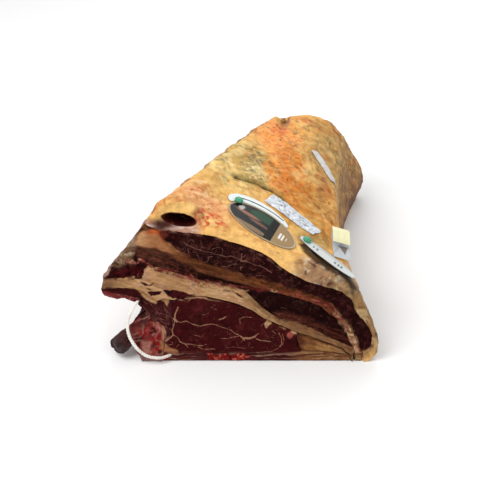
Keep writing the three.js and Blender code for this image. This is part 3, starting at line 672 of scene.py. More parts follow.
def paint_bone_side(form):
    """The dried membrane on the side of the spine, which runs on from layer to layer."""
    p = warped(form.points, 18, 7, 440)
    side = step(-0.15, -0.6, form.normals[:, 0]) * ~(form.front | form.hidden | form.rear)
    side = side * step(190, 160, form.points[:, 2])
    form.mix((128, 88, 78), side * step(-0.3, 0.5, noise(p, 34, 441, 3)) * 0.7)
    form.mix((188, 150, 118), side * step(0.05, 0.5, streaks(p, (0, 1, 0.1), 60, 16, 442, 3)) * 0.75)
    form.mix((66, 34, 34), side * step(0.1, 0.6, noise(p, 26, 443, 3)) * 0.7)
    form.mix((150, 60, 52), side * step(0.25, 0.6, noise(p, 15, 444, 2)) * 0.5)


def lumps(form, coarse, fine, seed):
    return coarse * noise(form.points, 26, seed, 2) + fine * noise(form.points, 8, seed + 5, 2)


# Each tag's centre, half length and half width in plan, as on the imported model
TAGS = {
    "oval_tag": ((14.5, -100.5), (41, -19), (8.5, 26.5)),
    "crescent_label": ((14.5, -100.5), (41, -19), (8.5, 26.5)),
    "paper_label": ((55, -54), (31, -19.5), (5, 11.5)),
    "long_label": ((96.5, -119.5), (32.5, -23.5), (3, 7)),
    "strip_label": ((104.5, 103), (12, -27), (3.2, 1.4)),
    "curled_label": ((116, -90), (0, -25), (11, 0)),
}
TAG_ROOM = {"crescent_label": (1.25, 1.45)}  # how far the flat fat reaches along and across, in tags
LABEL_SHADOW = [(61, -109), (75, -101), (92, -110), (106, -120), (126, -134), (136, -146), (128, -156), (111, -150),
                (95, -147), (78, -136), (66, -122)]
POCKET = {"at": (-86, -134, 182), "radii": (19, 46, 7.4), "turns": (-0.12, 0.15, -0.3)}
CREASE = [(-19, -8), (8, -6), (18, -10), (29, -12), (39, -19), (46, -30)]
SECOND_CREASE = [(5, 160), (22, 120), (36, 60), (52, 20), (62, -12)]
NOTCH = [(44, 150), (49, 200), (52, 256)]


def tag_place(node, points):
    """Where each point lies on its tag, as shares of the half length and the half width."""
    centre, along, across = (np.array(v, float) for v in TAGS[node])
    return np.linalg.solve(np.stack([along, across], axis=1), (points[:, :2] - centre).T)


def under_tags(points):
    """1 where the fat lies under a tag, where it keeps the height that the tags rest on."""
    cover = np.zeros(len(points))
    for node in TAGS:
        u, v = tag_place(node, points)
        along, across = (np.linalg.norm(half) for half in TAGS[node][1:])
        room = TAG_ROOM.get(node, (1.0, 1.0))
        reach = np.hypot(u * along / (room[0] * along + 6), v * across / (room[1] * across + 6))
        cover = np.maximum(cover, step(1.3, 1.0, reach))
    return cover


def in_pocket(points):
    """1 inside the pocket in the fat's front rim and on its wall."""
    turned = (points - POCKET["at"]) @ np.array(Euler(POCKET["turns"], "XYZ").to_matrix())
    return step(1.2, 1.08, np.linalg.norm(turned / POCKET["radii"], axis=1))


def fat_relief(form):
    p = form.points
    top = step(0.2, 0.6, form.normals[:, 2])
    height = lumps(form, 2.0, 0.7, 1)
    height += 0.6 * streaks(p, (0.8, 0.6, 0), 30, 4, 12)
    height += 0.35 * noise(p, 3.5, 16, 2)
    rim = blob(p, (92, -150, 118), (45, 16, 22))
    height += rim * 3.0 * noise(p, 9, 21, 3)
    height += 0.9 * np.where(form.front, noise(p, 11, 23, 2), 0)
    lip = blob(p, (-88, -125, 195), (38, 22, 16))
    height += lip * (0.8 - 1.8 * np.abs(streaks(p, (0.9, 0.5, 0), 34, 6, 31)))
    plan = warped(p, 12, 3, 61)[:, :2]
    height -= 3.8 * top * step(7, 0, line_distance(plan, CREASE))
    height -= 1.4 * top * step(9, 0, line_distance(plan, SECOND_CREASE))
    notch = step(150, 252, p[:, 1]) * top
    height -= 11 * notch * step(11, 0, line_distance(p[:, :2], NOTCH))
    reds = blob(p, (-52, -125, 184), (22, 10, 14))
    height += reds * 1.0 * noise(p, 4, 35, 2)
    return height


FAT_ZONES = [
    # colour, centre, radii, share
    ((240, 190, 116), (20, -135, 150), (75, 30, 40), 0.9),
    ((234, 182, 116), (-70, -90, 198), (60, 45, 40), 0.9),
    ((236, 166, 118), (-58, -98, 192), (46, 22, 30), 0.7),
    ((230, 186, 108), (-45, -10, 185), (45, 60, 50), 0.9),
    ((196, 162, 88), (-5, 35, 172), (34, 62, 40), 0.85),
    ((240, 208, 134), (-34, 10, 184), (20, 30, 30), 0.8),
    ((150, 134, 84), (8, 40, 166), (17, 48, 30), 0.75),
    ((240, 152, 88), (38, 165, 156), (32, 62, 34), 0.88),
    ((214, 116, 34), (50, 40, 150), (28, 86, 30), 0.95),
    ((238, 172, 92), (82, 205, 148), (34, 52, 30), 0.9),
    ((170, 134, 80), (122, 150, 122), (40, 100, 50), 0.95),
    ((142, 116, 68), (150, 170, 80), (26, 80, 46), 0.7),
    ((190, 118, 30), (92, -10, 128), (46, 66, 34), 0.95),
    ((206, 154, 66), (62, -62, 140), (36, 22, 30), 0.7),
    ((252, 204, 64), (34, -25, 155), (9, 12, 14), 0.95),
    ((172, 82, 36), (104, 60, 122), (9, 40, 24), 0.7),
    ((214, 92, 56), (46, 176, 153), (13, 20, 14), 0.6),
    ((214, 104, 62), (90, 212, 147), (9, 14, 12), 0.6),
    ((54, 32, 18), (76, 211, 149), (3, 5, 6), 0.9),
    ((104, 96, 60), (78, -92, 128), (22, 22, 16), 0.6),
]


def paint_fat(form):
    p = warped(form.points, 24, 8, 71)
    close = warped(form.points, 6, 2.5, 75)
    grit = noise(form.points, 4, 76, 3)
    form.mix((230, 178, 104), np.ones(len(p)))
    for i, (colour, centre, radii, share) in enumerate(FAT_ZONES):
        ragged = share * (0.85 + 0.6 * noise(form.points, 10, 80 + i, 3))
        form.mix(colour, blob(p, centre, radii) * ragged)
    left = step(-0.25, -0.65, form.normals[:, 0])
    form.mix((158, 112, 92), left * (0.7 + 0.5 * noise(p, 12, 102, 2)))
    form.mix((206, 150, 108), left * step(0.0, 0.4, noise(p, 16, 103, 2)))
    form.mix((96, 56, 52), left * step(0.2, 0.5, noise(p, 20, 100, 2)) * 0.6)
    flank = step(0.5, 0.9, form.normals[:, 0]) * step(125, 60, form.points[:, 2])
    form.mix((108, 70, 50), flank * (0.75 + 0.4 * noise(p, 14, 104, 2)))
    form.mix((74, 38, 30), flank * step(50, 14, p[:, 2]))
    olive = blob(p, (-10, 30, 176), (55, 80, 50))
    form.mix((104, 94, 56), olive * step(0.05, 0.45, noise(close, 11, 105, 3)) * 0.65)
    form.mix((244, 220, 160), olive * step(0.2, 0.9, marble(p, 16, 106)) * 0.5)
    form.mix((250, 232, 180), blob(close, (2, 16, 166), (16, 32, 20)) * step(0.0, 0.4, grit) * 0.6)
    form.mix((84, 80, 60), blob(close, (4, 60, 167), (12, 46, 20)) * step(0.1, 0.4, noise(close, 8, 122, 2)) * 0.7)
    brown = blob(p, (110, 80, 125), (60, 180, 70))
    form.mix((118, 84, 44), brown * step(0.0, 0.4, streaks(close, (0.15, -1, 0), 26, 8, 107, 3)) * 0.65)
    form.mix((206, 166, 104), brown * step(0.2, 0.9, marble(p, 18, 118)) * 0.45)
    orange = np.maximum(blob(p, (40, 165, 156), (36, 70, 40)), blob(p, (50, 40, 150), (30, 90, 34)))
    form.mix((236, 150, 56), orange * step(0.05, 0.4, streaks(close, (0.6, -0.8, 0), 24, 7, 119, 3)) * 0.6)
    form.mix((206, 76, 44), orange * step(0.3, 0.5, noise(close, 7, 108, 2)) * 0.6)
    form.mix((104, 40, 28), orange * step(0.6, 0.75, noise(form.points, 3.5, 109)) * 0.85)
    top = step(0.2, 0.5, form.normals[:, 2])
    form.mix((248, 208, 128), top * step(0.3, 1.0, marble(form.points, 14, 110)) * 0.3)
    form.mix((182, 106, 44), top * step(0.2, 1.0, marble(form.points, 22, 111)) * 0.4)
    form.mix((250, 224, 160), top * step(0.1, 0.6, noise(close, 18, 127, 4)) * step(-0.2, 0.4, noise(p, 40, 128)) * 0.45)
    form.mix((206, 128, 60), top * step(0.1, 0.7, noise(close, 20, 123, 4)) * 0.4)
    form.mix((120, 70, 34), top * step(0.6, 0.8, noise(close, 5, 101, 2)) * 0.6)
    wrinkles = np.abs(streaks(close, (0.95, 0.3, 0), 44, 7, 112))
    lip = blob(p, (-70, -100, 195), (66, 46, 30))
    form.mix((190, 104, 66), lip * step(0.14, 0.0, wrinkles) * 0.65)
    form.mix((252, 220, 168), lip * step(0.3, 0.6, wrinkles) * 0.5)
    reds = blob(close, (-48, -125, 184), (25, 14, 18))
    form.mix((206, 62, 44), reds * step(-0.05, 0.2, noise(form.points, 5, 113, 2)) * 0.9)
    plan = close[:, :2]
    # painted shade in the crease: an olive band, and a dark line along its bottom
    form.mix((116, 102, 54), step(13, 3, line_distance(plan, CREASE)) * top * 0.55)
    form.mix((66, 52, 28), step(4.5, 0.5, line_distance(plan, CREASE)) * top * 0.9)
    form.mix((92, 50, 28), step(5, 1, line_distance(plan, NOTCH)) * top * step(160, 240, p[:, 1]) * 0.7)
    rim = blob(p, (100, -149, 112), (48, 18, 28))
    form.mix((156, 120, 90), rim * 0.95)
    form.mix((226, 206, 176), rim * step(-0.1, 0.35, noise(close, 9, 125, 4)) * 0.9)
    form.mix((76, 44, 30), rim * step(0.05, 0.35, noise(close, 7, 114, 3)) * 0.85)
    bruise = blob(warped(form.points, 7, 3, 136), (90, -152, 98), (17, 20, 7), 0.5)
    form.mix((74, 28, 24), bruise * step(-0.4, 0.1, grit) * 0.85)
    corner = blob(warped(form.points, 12, 5, 132), (142, -152, 58), (48, 34, 66), 0.3)
    form.mix((140, 106, 70), corner * 0.92)
    form.mix((190, 162, 118), corner * step(0.0, 0.5, noise(close, 10, 133, 3)) * 0.7)
    form.mix((92, 60, 42), corner * step(0.1, 0.5, noise(close, 9, 134, 3)) * 0.8)
    shadow = region(warped(form.points, 8, 2, 124)[:, :2], LABEL_SHADOW, 3.0)
    form.mix((44, 26, 15), shadow * 0.92)
    pocket = in_pocket(form.points)
    # the pocket's wall: dark maroon, partly the meat's colour and partly painted shade in the hollow
    form.mix((50, 10, 9), pocket)
    form.mix((120, 52, 38), pocket * step(0.2, 0.5, noise(close, 6, 115, 2)) * 0.5)
    roll = blob(form.points, (-84, -128, 194), (24, 16, 7), 0.4)
    form.mix((232, 188, 112), roll * (1 - pocket) * 0.8)
    form.mix((150, 92, 60), blob(form.points, (-62, -126, 186), (8, 12, 8)) * (1 - pocket) * 0.6)
    fringe = step(-52, -72, p[:, 0] + 3 * grit) * form.front * step(184, 175, form.points[:, 2]) * (1 - pocket)
    form.mix((178, 132, 120), fringe * 0.9)
    form.mix((222, 196, 182), fringe * step(0.1, 0.4, streaks(close, (1, 0, -0.1), 20, 3, 121)) * 0.8)
    left_end = blob(warped(form.points, 6, 2.5, 126), (-105, -136, 176), (15, 18, 8), 0.6)
    form.mix((52, 15, 15), left_end * (1 - pocket) * 0.95)
    corner = blob(p, (150, 245, 100), (34, 26, 44))
    form.mix((122, 48, 34), corner * step(-0.1, 0.5, noise(close, 12, 117, 2)) * 0.75)
    form.mix((222, 182, 122), np.where(form.rear & (form.normals[:, 1] > 0.6), 0.8, 0))
    form.shade(1 + 0.16 * grit)


def paint_muscle(form, colour, light, dark, seed):
    """Muscle: fibre bundles on the cut ends, and a dried membrane on the outside."""
    p = form.points
    close = warped(p, 8, 2, seed)
    form.mix(colour, np.ones(len(p)))
    bundles = noise(close, 7, seed + 4, 3)
    form.mix(light, step(0.05, 0.6, bundles) * 0.6)
    form.mix(dark, step(0.0, 0.55, noise(close, 13, seed + 5, 3)) * 0.6)
    cut_end = form.cut | (form.rear & (form.normals[:, 1] > 0.5))
    outside = ~cut_end & ~form.hidden
    left = step(-0.2, -0.6, form.normals[:, 0])
    form.mix((126, 92, 88), np.where(outside, left * (0.7 + 0.5 * noise(p, 16, seed + 6, 2)), 0))
    form.mix((74, 40, 34), np.where(outside, step(0.3, 0.8, form.normals[:, 0]), 0) * 0.6)
    rear = form.rear & (form.normals[:, 1] > 0.5)
    net = np.abs(noise(warped(p, 20, 6, seed + 7), 22, seed + 9)) * 11
    form.vein = np.where(rear, np.minimum(form.vein, net - 0.5 + 1.2 * step(-0.2, 0.4, noise(p, 30, seed + 10))), form.vein)


def muscle_relief(depth):
    def relief(form):
        height = depth * noise(form.points, 9, 131, 3)
        height += 0.35 * step(0.6, -0.2, form.vein)
        return height
    return relief


def paint_upper_muscle(form):
    paint_muscle(form, (38, 9, 10), (68, 24, 22), (20, 4, 6), 140)
    p = form.points
    rim = line_distance(warped(p, 6, 1.2, 150)[:, [0, 2]],
                        [(-111, 166), (-97, 165), (-70, 161), (-42, 157), (-10, 146), (19, 134), (38, 118)])
    form.mix((124, 84, 72), np.where(form.front, step(2.6, 0.6, rim), 0) * step(-0.3, 0.3, noise(p, 8, 151)) * 0.8)
    form.mix((120, 52, 38), np.where(form.front, blob(p, (-106, -140, 162), (7, 30, 6)), 0) * 0.7)
    form.mix((96, 50, 44), np.where(form.cut, step(0.15, 0.5, noise(p, 4, 152, 2)), 0) * 0.35)


def paint_middle_muscle(form):
    paint_muscle(form, (38, 9, 9), (66, 26, 22), (20, 4, 5), 160)
    p = form.points
    close = warped(p, 5, 2, 165)
    front = form.front.astype(float)
    form.mix((26, 6, 7), front * step(-40, 20, p[:, 0]) * 0.6)
    form.mix((92, 60, 50), front * step(0.3, 0.6, noise(close, 5, 166, 2)) * 0.3)


def paint_neck_muscle(form):
    paint_muscle(form, (58, 14, 18), (84, 32, 34), (30, 6, 8), 180)
    p = form.points
    fibres = streaks(warped(p, 12, 3, 185), (0.75, 0, -0.65), 30, 1.8, 186, 1)
    low = step(70, 55, p[:, 2])
    form.mix((138, 84, 78), form.cut * step(0.16, 0.02, np.abs(fibres)) * (0.15 + 0.4 * low))
    form.mix((26, 6, 8), form.cut * step(0.2, 0.5, -fibres) * 0.8)
    form.mix((178, 60, 56), np.where(form.front & ~form.cut, 0.6, 0))
    form.mix((120, 40, 38), blob(p, (-176, -155, 78), (9, 30, 10)) * 0.8)


def random_flecks(count, centre, half, seed):
    """Short pale threads strewn over an oval, as width and x, z points."""
    random = np.random.default_rng(seed)
    flecks = []
    while len(flecks) < count:
        x, z = random.uniform(-1, 1, 2)
        if x * x + z * z < 1:
            middle = np.array(centre) + np.array(half) * (x, z)
            angle = random.uniform(0, math.pi)
            reach = random.uniform(0.8, 2.6) * np.array([math.cos(angle), math.sin(angle)])
            flecks.append((random.uniform(0.1, 0.5), [tuple(middle - reach), tuple(middle + reach)]))
    return flecks


def paint_eye_muscle(form):
    paint_muscle(form, (62, 12, 15), (86, 27, 28), (38, 5, 8), 200)
    p = form.points
    close = warped(p, 5, 1.6, 205)
    front = form.front.astype(float)
    seam_edge = line_distance(close[:, [0, 2]], SEAM_OVER_EYE)
    form.mix((160, 118, 88), front * step(1.2, 0.3, seam_edge) * step(-30, -50, p[:, 0]) * 0.7)
    form.mix((170, 88, 76), front * blob(close, (50, -168, 36), (4, 30, 4)) * 0.85)
    form.mix((190, 146, 108), front * blob(close, (55, -168, 41), (4, 30, 4)) * 0.85)


def seam_relief(form):
    height = 0.7 * noise(form.points, 12, 221, 3) + 0.35 * streaks(form.points, (0.95, 0, -0.3), 30, 3, 222)
    return height - 0.6 * step(0.5, -0.5, form.vein)


def paint_upper_seam(form):
    p = form.points
    close = warped(p, 7, 2.5, 230)
    form.mix((98, 54, 34), np.ones(len(p)))
    bands = streaks(close, (0.95, 0, -0.3), 60, 3.5, 233)
    form.mix((134, 80, 48), step(0.0, 0.5, bands) * 0.8)
    form.mix((58, 24, 17), step(0.0, 0.5, -bands) * 0.75)
    right = form.front * step(0, 60, p[:, 0])
    form.mix((140, 70, 42), right * step(-0.2, 0.4, bands) * 0.7)
    left_edge = form.front * step(-132, -148, p[:, 0])
    form.mix((206, 184, 158), left_edge * 0.7)
    left = step(-0.2, -0.6, form.normals[:, 0]) * ~form.front
    form.mix((170, 140, 120), left * (0.7 + 0.4 * noise(p, 12, 235, 2)))
    form.mix((196, 160, 112), np.where(form.rear & (form.normals[:, 1] > 0.5), 0.85, 0))


def paint_lower_seam(form):
    p = form.points
    close = warped(p, 6, 2, 240)
    form.mix((170, 130, 88), np.ones(len(p)))
    bands = streaks(close, (0.93, 0, -0.36), 50, 4, 243)
    form.mix((206, 172, 126), step(0.0, 0.4, bands) * 0.75)
    form.mix((122, 78, 50), step(0.0, 0.5, -bands) * 0.75)
    front = form.front.astype(float)
    form.mix((108, 62, 40), front * step(-30, 40, p[:, 0]) * 0.6)
    form.mix((160, 112, 72), front * step(-30, 40, p[:, 0]) * step(0, 0.5, bands) * 0.6)
    form.mix((92, 56, 48), front * step(-150, -175, p[:, 0]) * 0.5)
    outer = step(0.4, 0.8, form.normals[:, 0]) * (1 - front)
    form.mix((118, 78, 56), outer * 0.7)
    left = step(-0.2, -0.6, form.normals[:, 0]) * (1 - front)
    form.mix((150, 110, 100), left * 0.8)


def paint_rib_fat(form):
    p = form.points
    close = warped(p, 6, 2, 250)
    form.mix((142, 94, 54), np.ones(len(p)))
    bands = streaks(close, (0.9, 0, -0.35), 50, 3.5, 253)
    form.mix((178, 134, 80), step(0, 0.5, bands) * 0.8)
    form.mix((92, 48, 32), step(0, 0.5, -bands) * 0.7)
    form.mix((72, 24, 20), form.front * step(74, 62, close[:, 0]) * 0.8)


def rib_relief(form):
    return np.where(form.under, 0.8, 0.5) * noise(form.points, 10, 261, 3)


def paint_rib_meat(form):
    """The underside: rib bones under a thin membrane, with red muscle in the grooves between them."""
    p = form.points
    close = warped(p, 8, 3, 265)
    form.mix((122, 48, 44), np.ones(len(p)))
    slanted = p[:, 1] - 8 - (p[:, 0] - 30) * 0.16
    phase = np.abs((slanted / 62 + 0.5) % 1 - 0.5) * 62
    bone = form.under * step(20, 13, phase)
    form.mix((186, 146, 124), bone * 0.85)
    form.mix((206, 182, 160), form.under * step(0.1, 0.5, noise(close, 18, 268, 3)) * 0.5)
    form.mix((92, 26, 26), form.under * step(0.2, 0.6, noise(close, 12, 269, 3)) * 0.5)


def chine_relief(form):
    return 1.7 * noise(form.points, 10, 281, 3) * ~form.under + 0.7 * noise(form.points, 4, 284, 2)


def paint_chine(form):
    """Sawn bone: a pale rim round red, open marrow."""
    p = form.points
    close = warped(p, 6, 2.5, 285)
    form.mix((122, 48, 44), np.ones(len(p)))
    form.mix((190, 132, 114), step(-0.05, 0.4, noise(close, 12, 288, 3)) * 0.8)
    form.mix((140, 22, 26), step(0.0, 0.25, noise(close, 14, 289, 3)) * 0.9)
    form.mix((40, 8, 9), step(0.15, 0.35, noise(close, 9, 291, 3)) * 0.85)
    form.mix((196, 150, 132), step(0.5, 1.0, marble(p, 16, 290)) * 0.35)
    form.mix((150, 84, 74), step(0.1, 0.5, noise(p, 3, 292, 2)) * 0.5)
    form.mix((66, 22, 22), form.front * step(-118, -130, p[:, 0]) * step(40, 50, p[:, 2]) * 0.8)
    side = step(-0.3, -0.7, form.normals[:, 0]) * ~form.front
    form.mix((186, 140, 118), side * 0.5)
    low = step(12, 4, p[:, 2]) * form.front
    form.mix((150, 120, 118), low * 0.8)
    form.mix((214, 170, 130), form.cut * step(-112, -106, p[:, 0]) * 0.7)


LOOKS = {
    "fat_cover": (fat_relief, paint_fat, "fat", FAT, ()),
    "upper_muscle": (muscle_relief(0.7), paint_upper_muscle, "dry_muscle", DARK,
                     UPPER_VEINS + random_flecks(50, (-30, 132), (62, 14), 6)),
    "upper_seam": (seam_relief, paint_upper_seam, "seam", CREAM, ()),
    "middle_muscle": (muscle_relief(0.9), paint_middle_muscle, "dry_muscle", DARK, MIDDLE_VEINS),
    "lower_seam": (seam_relief, paint_lower_seam, "cream_fat", CREAM, ()),
    "neck_muscle": (muscle_relief(0.8), paint_neck_muscle, "muscle", RED, NECK_VEINS),
    "eye_muscle": (muscle_relief(0.35), paint_eye_muscle, "muscle", RED,
                   EYE_VEINS + random_flecks(46, (-25, 42), (78, 36), 5)),
    "rib_fat": (seam_relief, paint_rib_fat, "cream_fat", CREAM, ()),
    "rib_meat": (rib_relief, paint_rib_meat, "muscle", RED, ()),
    "chine": (chine_relief, paint_chine, "bone", BONE, ()),
}
for node, (relief, paint, slot, material, veins) in LOOKS.items():
    form = layer_form(node, relief, veins)
    if node == "fat_cover":
        kept = under_tags(form.flat)[:, None]
        form.points += (form.flat - form.points) * kept
    form.normals = normals_of(form.points, form.faces)
    paint(form)
    paint_bone_side(form)
    if node != "fat_cover":
        paint_cut(form)
    show(form, node, material)


# The bone end, tags, pins and string

def small_form(node, edge, rounds=0):
    points, faces = cad_mesh(node)
    points, faces, _ = refine(points, faces, np.zeros(len(faces), int), lambda middle, _: np.full(len(middle), edge))
    even_out(points, faces, np.ones(len(points), bool), rounds)
    return Form(points, faces)


def bone_end():
    form = small_form("bone_stump", 1.3, 3)
    p = form.points
    form.points = p + form.normals * (1.2 * noise(p, 10, 301, 3) - 1.2 * step(0.1, 0, np.abs(noise(p, 16, 305))))[:, None]
    form.mix((46, 30, 30), np.ones(len(p)))
    form.mix((96, 84, 84), step(0, 0.5, noise(p, 9, 306, 3)) * 0.6)
    form.mix((16, 10, 10), step(0.05, 0.4, noise(p, 7, 309, 2)) * 0.7)
    form.mix((96, 34, 34), step(-0.2, 0.6, (p @ np.array([0.62, 0.74, 0.22]) + 225) / 60) * 0.6)
    show(form, "bone_stump", STUMP)


def bar(u, v, centre, half, lean=0.0):
    """1 on a small bar, given by its centre and half sizes."""
    return ((np.abs(u - centre[0] - lean * (v - centre[1])) < half[0]) & (np.abs(v - centre[1]) < half[1])).astype(float)


def oval_tag():
    form = small_form("oval_tag", 0.7)
    u, v = tag_place("oval_tag", form.points)
    reach = np.hypot(u, v)
    flat = np.stack([u, v, np.zeros(len(u))], axis=1)
    uneven = warped(flat, 0.25, 0.06, 320)
    form.mix((15, 17, 15), np.ones(len(u)))
    form.mix((26, 66, 46), blob(uneven, (0.02, 0.5, 0), (0.42, 0.34, 1), 0.15))
    form.mix((150, 104, 80), blob(uneven, (-0.42, 0.1, 0), (0.34, 0.12, 1), 0.3) * 0.85)
    form.mix((120, 84, 64), blob(uneven, (-0.05, -0.12, 0), (0.3, 0.1, 1), 0.3) * 0.8)
    form.mix((150, 122, 90), blob(uneven, (-0.2, -0.72, 0), (0.5, 0.16, 1), 0.2) * 0.7)
    form.mix((196, 190, 184), blob(uneven, (-0.66, 0.3, 0), (0.08, 0.16, 1), 0.3) * 0.8)
    form.mix((20, 19, 18), (u > 0.2).astype(float))
    form.mix((158, 130, 92), (u > 0.42).astype(float))
    for place in (0.56, 0.64):
        form.mix((232, 228, 220), bar(u, v, (place, -0.05), (0.025, 0.24)))
    form.mix((205, 196, 180), bar(u, v, (0.74, 0.0), (0.015, 0.14)))
    form.mix((150, 126, 96), step(0.925, 0.935, reach))
    form.mix((186, 168, 142), step(0.96, 0.97, reach))
    form.mix((150, 136, 116), (form.normals[:, 2] < 0.3).astype(float))
    show(form, "oval_tag", CARD)


def crescent_label():
    form = small_form("crescent_label", 0.9)
    u, v = tag_place("crescent_label", form.points)
    reach = np.hypot(u, v)
    angle = np.degrees(np.arctan2(v, u))
    form.mix((222, 230, 230), np.ones(len(u)))
    line = (np.abs(reach - 1.27) < 0.035) & (angle > 70) & (angle < 132)
    form.mix((30, 32, 34), line.astype(float))
    show(form, "crescent_label", CARD)


def fat_height(points):
    """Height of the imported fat's top under each point."""
    down = trees["fat_cover"].ray_cast
    return np.array([down((x, y, 300), (0, 0, -1))[0][2] for x, y in points[:, :2].tolist()])


def lay_again(form, moved):
    """Moves the points of a tag in plan, and keeps their height over the fat."""
    lift = form.points[:, 2] - fat_height(form.points)
    form.points = np.column_stack([moved, fat_height(moved) + lift])


def paper_label():
    form = small_form("paper_label", 0.9)
    u, v = tag_place("paper_label", form.points)
    centre, along, across = (np.array(half, float) for half in TAGS["paper_label"])
    wavy = np.stack([u, v, np.zeros(len(u))], axis=1)
    long = u * (1 + 0.06 * noise(wavy, 0.9, 334)) + 0.05 * v
    wide = v * (0.98 - 0.16 * u + 0.16 * noise(wavy, 0.45, 335, 2))
    lay_again(form, centre + long[:, None] * along + wide[:, None] * across)
    p = form.points
    creases = np.abs(noise(p, 9, 331, 2))
    form.points = p + np.array([0, 0, 1]) * (0.9 * step(0.0, 0.35, creases) * step(1.05, 0.7, np.hypot(u, v * 0.8)))[:, None]
    form.mix((206, 212, 218), np.ones(len(u)))
    form.mix((136, 144, 150), step(0.12, 0.0, creases) * 0.8)
    form.mix((244, 246, 248), step(0.2, 0.5, noise(p, 5, 333, 2)) * 0.7)
    for place in ((-0.62, 0.3), (-0.46, 0.05), (-0.1, -0.1), (0.4, 0.2), (0.56, -0.3)):
        form.mix((70, 74, 80), bar(u, v, place, (0.05, 0.07), 0.2) * 0.8)
    show(form, "paper_label", PAPER)


def long_label():
    form = small_form("long_label", 0.9)
    u, v = tag_place("long_label", form.points)
    form.mix((206, 210, 208), np.ones(len(u)))
    # painted shade: the back half of the label across its width is greyer
    form.mix((160, 166, 168), step(0.2, 0.6, v) * 0.5)
    for place in (-0.5, -0.36, 0.3, 0.42, 0.52):
        form.mix((120, 124, 130), bar(u, v, (place, -0.1), (0.035, 0.25)))
    form.mix((120, 122, 122), (form.normals[:, 2] < 0.3) * 0.6)
    show(form, "long_label", CARD)


def strip_label():
    form = small_form("strip_label", 0.8)
    u, v = tag_place("strip_label", form.points)
    centre, along, across = (np.array(half, float) for half in TAGS["strip_label"])
    lay_again(form, centre + u[:, None] * along + (1.5 * v)[:, None] * across)
    form.mix((206, 205, 202), np.ones(len(form.points)))
    form.mix((166, 164, 162), step(0, 0.5, noise(form.points, 4, 341, 2)) * 0.6)
    show(form, "strip_label", PAPER)


CURL_AXIS = (-79.0, 8.0)  # y, and height over the flap, of the middle of the roll
CURL = {"left": 105.0, "base": 119.5, "fall": 0.33}


def curled_label():
    form = small_form("curled_label", 0.9, 2)
    p = form.points
    height = p[:, 2] - CURL["base"] + CURL["fall"] * (p[:, 0] - CURL["left"])
    outwards = form.normals[:, 1] * (p[:, 1] - CURL_AXIS[0]) + form.normals[:, 2] * (height - CURL_AXIS[1])
    rolled = height > 2.2
    cream = np.where(rolled, outwards > 0, form.normals[:, 2] < 0)
    # the label's printed side and flap: grey, partly the paper's colour and partly painted shade under the roll
    form.mix((190, 194, 198), np.ones(len(p)))
    form.mix((104, 88, 66), region(p[:, :2], [(112, -88), (125, -88), (120, -106)], 0.8) * 0.85)
    form.mix((150, 154, 156), step(2.5, 0.5, np.abs(p[:, 0] - 109 - 0.5 * (p[:, 1] + 100))) * (height < 2.2) * 0.5)
    form.mix((236, 231, 186), cream.astype(float))
    show(form, "curled_label", PAPER)


PIN_PROFILE = [(0, 0), (5.1, 0), (5.5, 0.4), (5.6, 1.1), (5.45, 2), (4.9, 2.9), (3.9, 3.7), (2.2, 4.2), (0, 4.4)]
PIN_SIDES = 48


def pin(node):
    """A round pin head on the axis of its node."""
    points, _ = cad_mesh(node)
    base_side = points - points.mean(axis=0)
    axis = np.linalg.svd(base_side)[2][2]
    axis *= np.sign(axis[2])
    depth = base_side @ axis
    foot = points.mean(axis=0) + axis * depth.min()
    side = np.cross(axis, (0, 1, 0))
    side /= np.linalg.norm(side)
    other = np.cross(axis, side)
    rows = []
    for radius, height in PIN_PROFILE:
        for i in range(PIN_SIDES):
            angle = 2 * math.pi * i / PIN_SIDES
            rows.append(foot + axis * height + radius * (math.cos(angle) * side + math.sin(angle) * other))
    faces = ring_faces(len(PIN_PROFILE), PIN_SIDES)
    form = Form(*merged(np.array(rows), faces))
    form.mix((72, 152, 116), np.ones(len(form.points)))
    form.mix((96, 176, 140), step(0.3, 0.8, noise(form.points, 4, 350, 2)) * 0.4)
    show(form, node, PLASTIC)


def ring_faces(rings, sides):
    faces = []
    for j in range(rings - 1):
        for i in range(sides):
            a, b = j * sides + i, j * sides + (i + 1) % sides
            faces += [(a, b + sides, b), (a, a + sides, b + sides)]
    return np.array(faces)


def merged(points, faces):
    """The mesh with equal vertices merged and the faces that collapse dropped."""
    points, index = np.unique(np.round(points, 4), axis=0, return_inverse=True)
    faces = index.reshape(-1)[faces]
    kept = (faces[:, 0] != faces[:, 1]) & (faces[:, 1] != faces[:, 2]) & (faces[:, 0] != faces[:, 2])
    return points, faces[kept]


STRING_ROUTE = [
    (-126, -134, 82), (-137, -150, 78), (-146, -162, 70), (-151, -168, 58), (-152, -171.5, 46), (-149, -174.5, 34),
    (-141, -178, 21), (-131, -180.4, 12.5), (-120, -181, 9), (-110, -179.5, 8), (-101, -173, 7), (-94, -162, 6),
]
STRAND = {"radius": 1.15, "offset": 1.05, "pitch": 11.0, "sides": 8, "step": 0.8}


def curve_points(route, spacing):
    """Evenly spaced points on a smooth curve through the route's points."""
    route = np.array(route, float)
    padded = np.vstack([2 * route[0] - route[1], route, 2 * route[-1] - route[-2]])
    dense = []
    for a, b, c, d in zip(padded, padded[1:], padded[2:], padded[3:]):
        for t in np.arange(0, 1, 0.02):
            dense.append(0.5 * (2 * b + (c - a) * t + (2 * a - 5 * b + 4 * c - d) * t ** 2
                                + (3 * b - a - 3 * c + d) * t ** 3))
    dense = np.array(dense + [route[-1]])
    length = np.concatenate([[0], np.cumsum(np.linalg.norm(np.diff(dense, axis=0), axis=1))])
    places = np.arange(0, length[-1], spacing)
    return np.stack([np.interp(places, length, dense[:, i]) for i in range(3)], axis=1), places


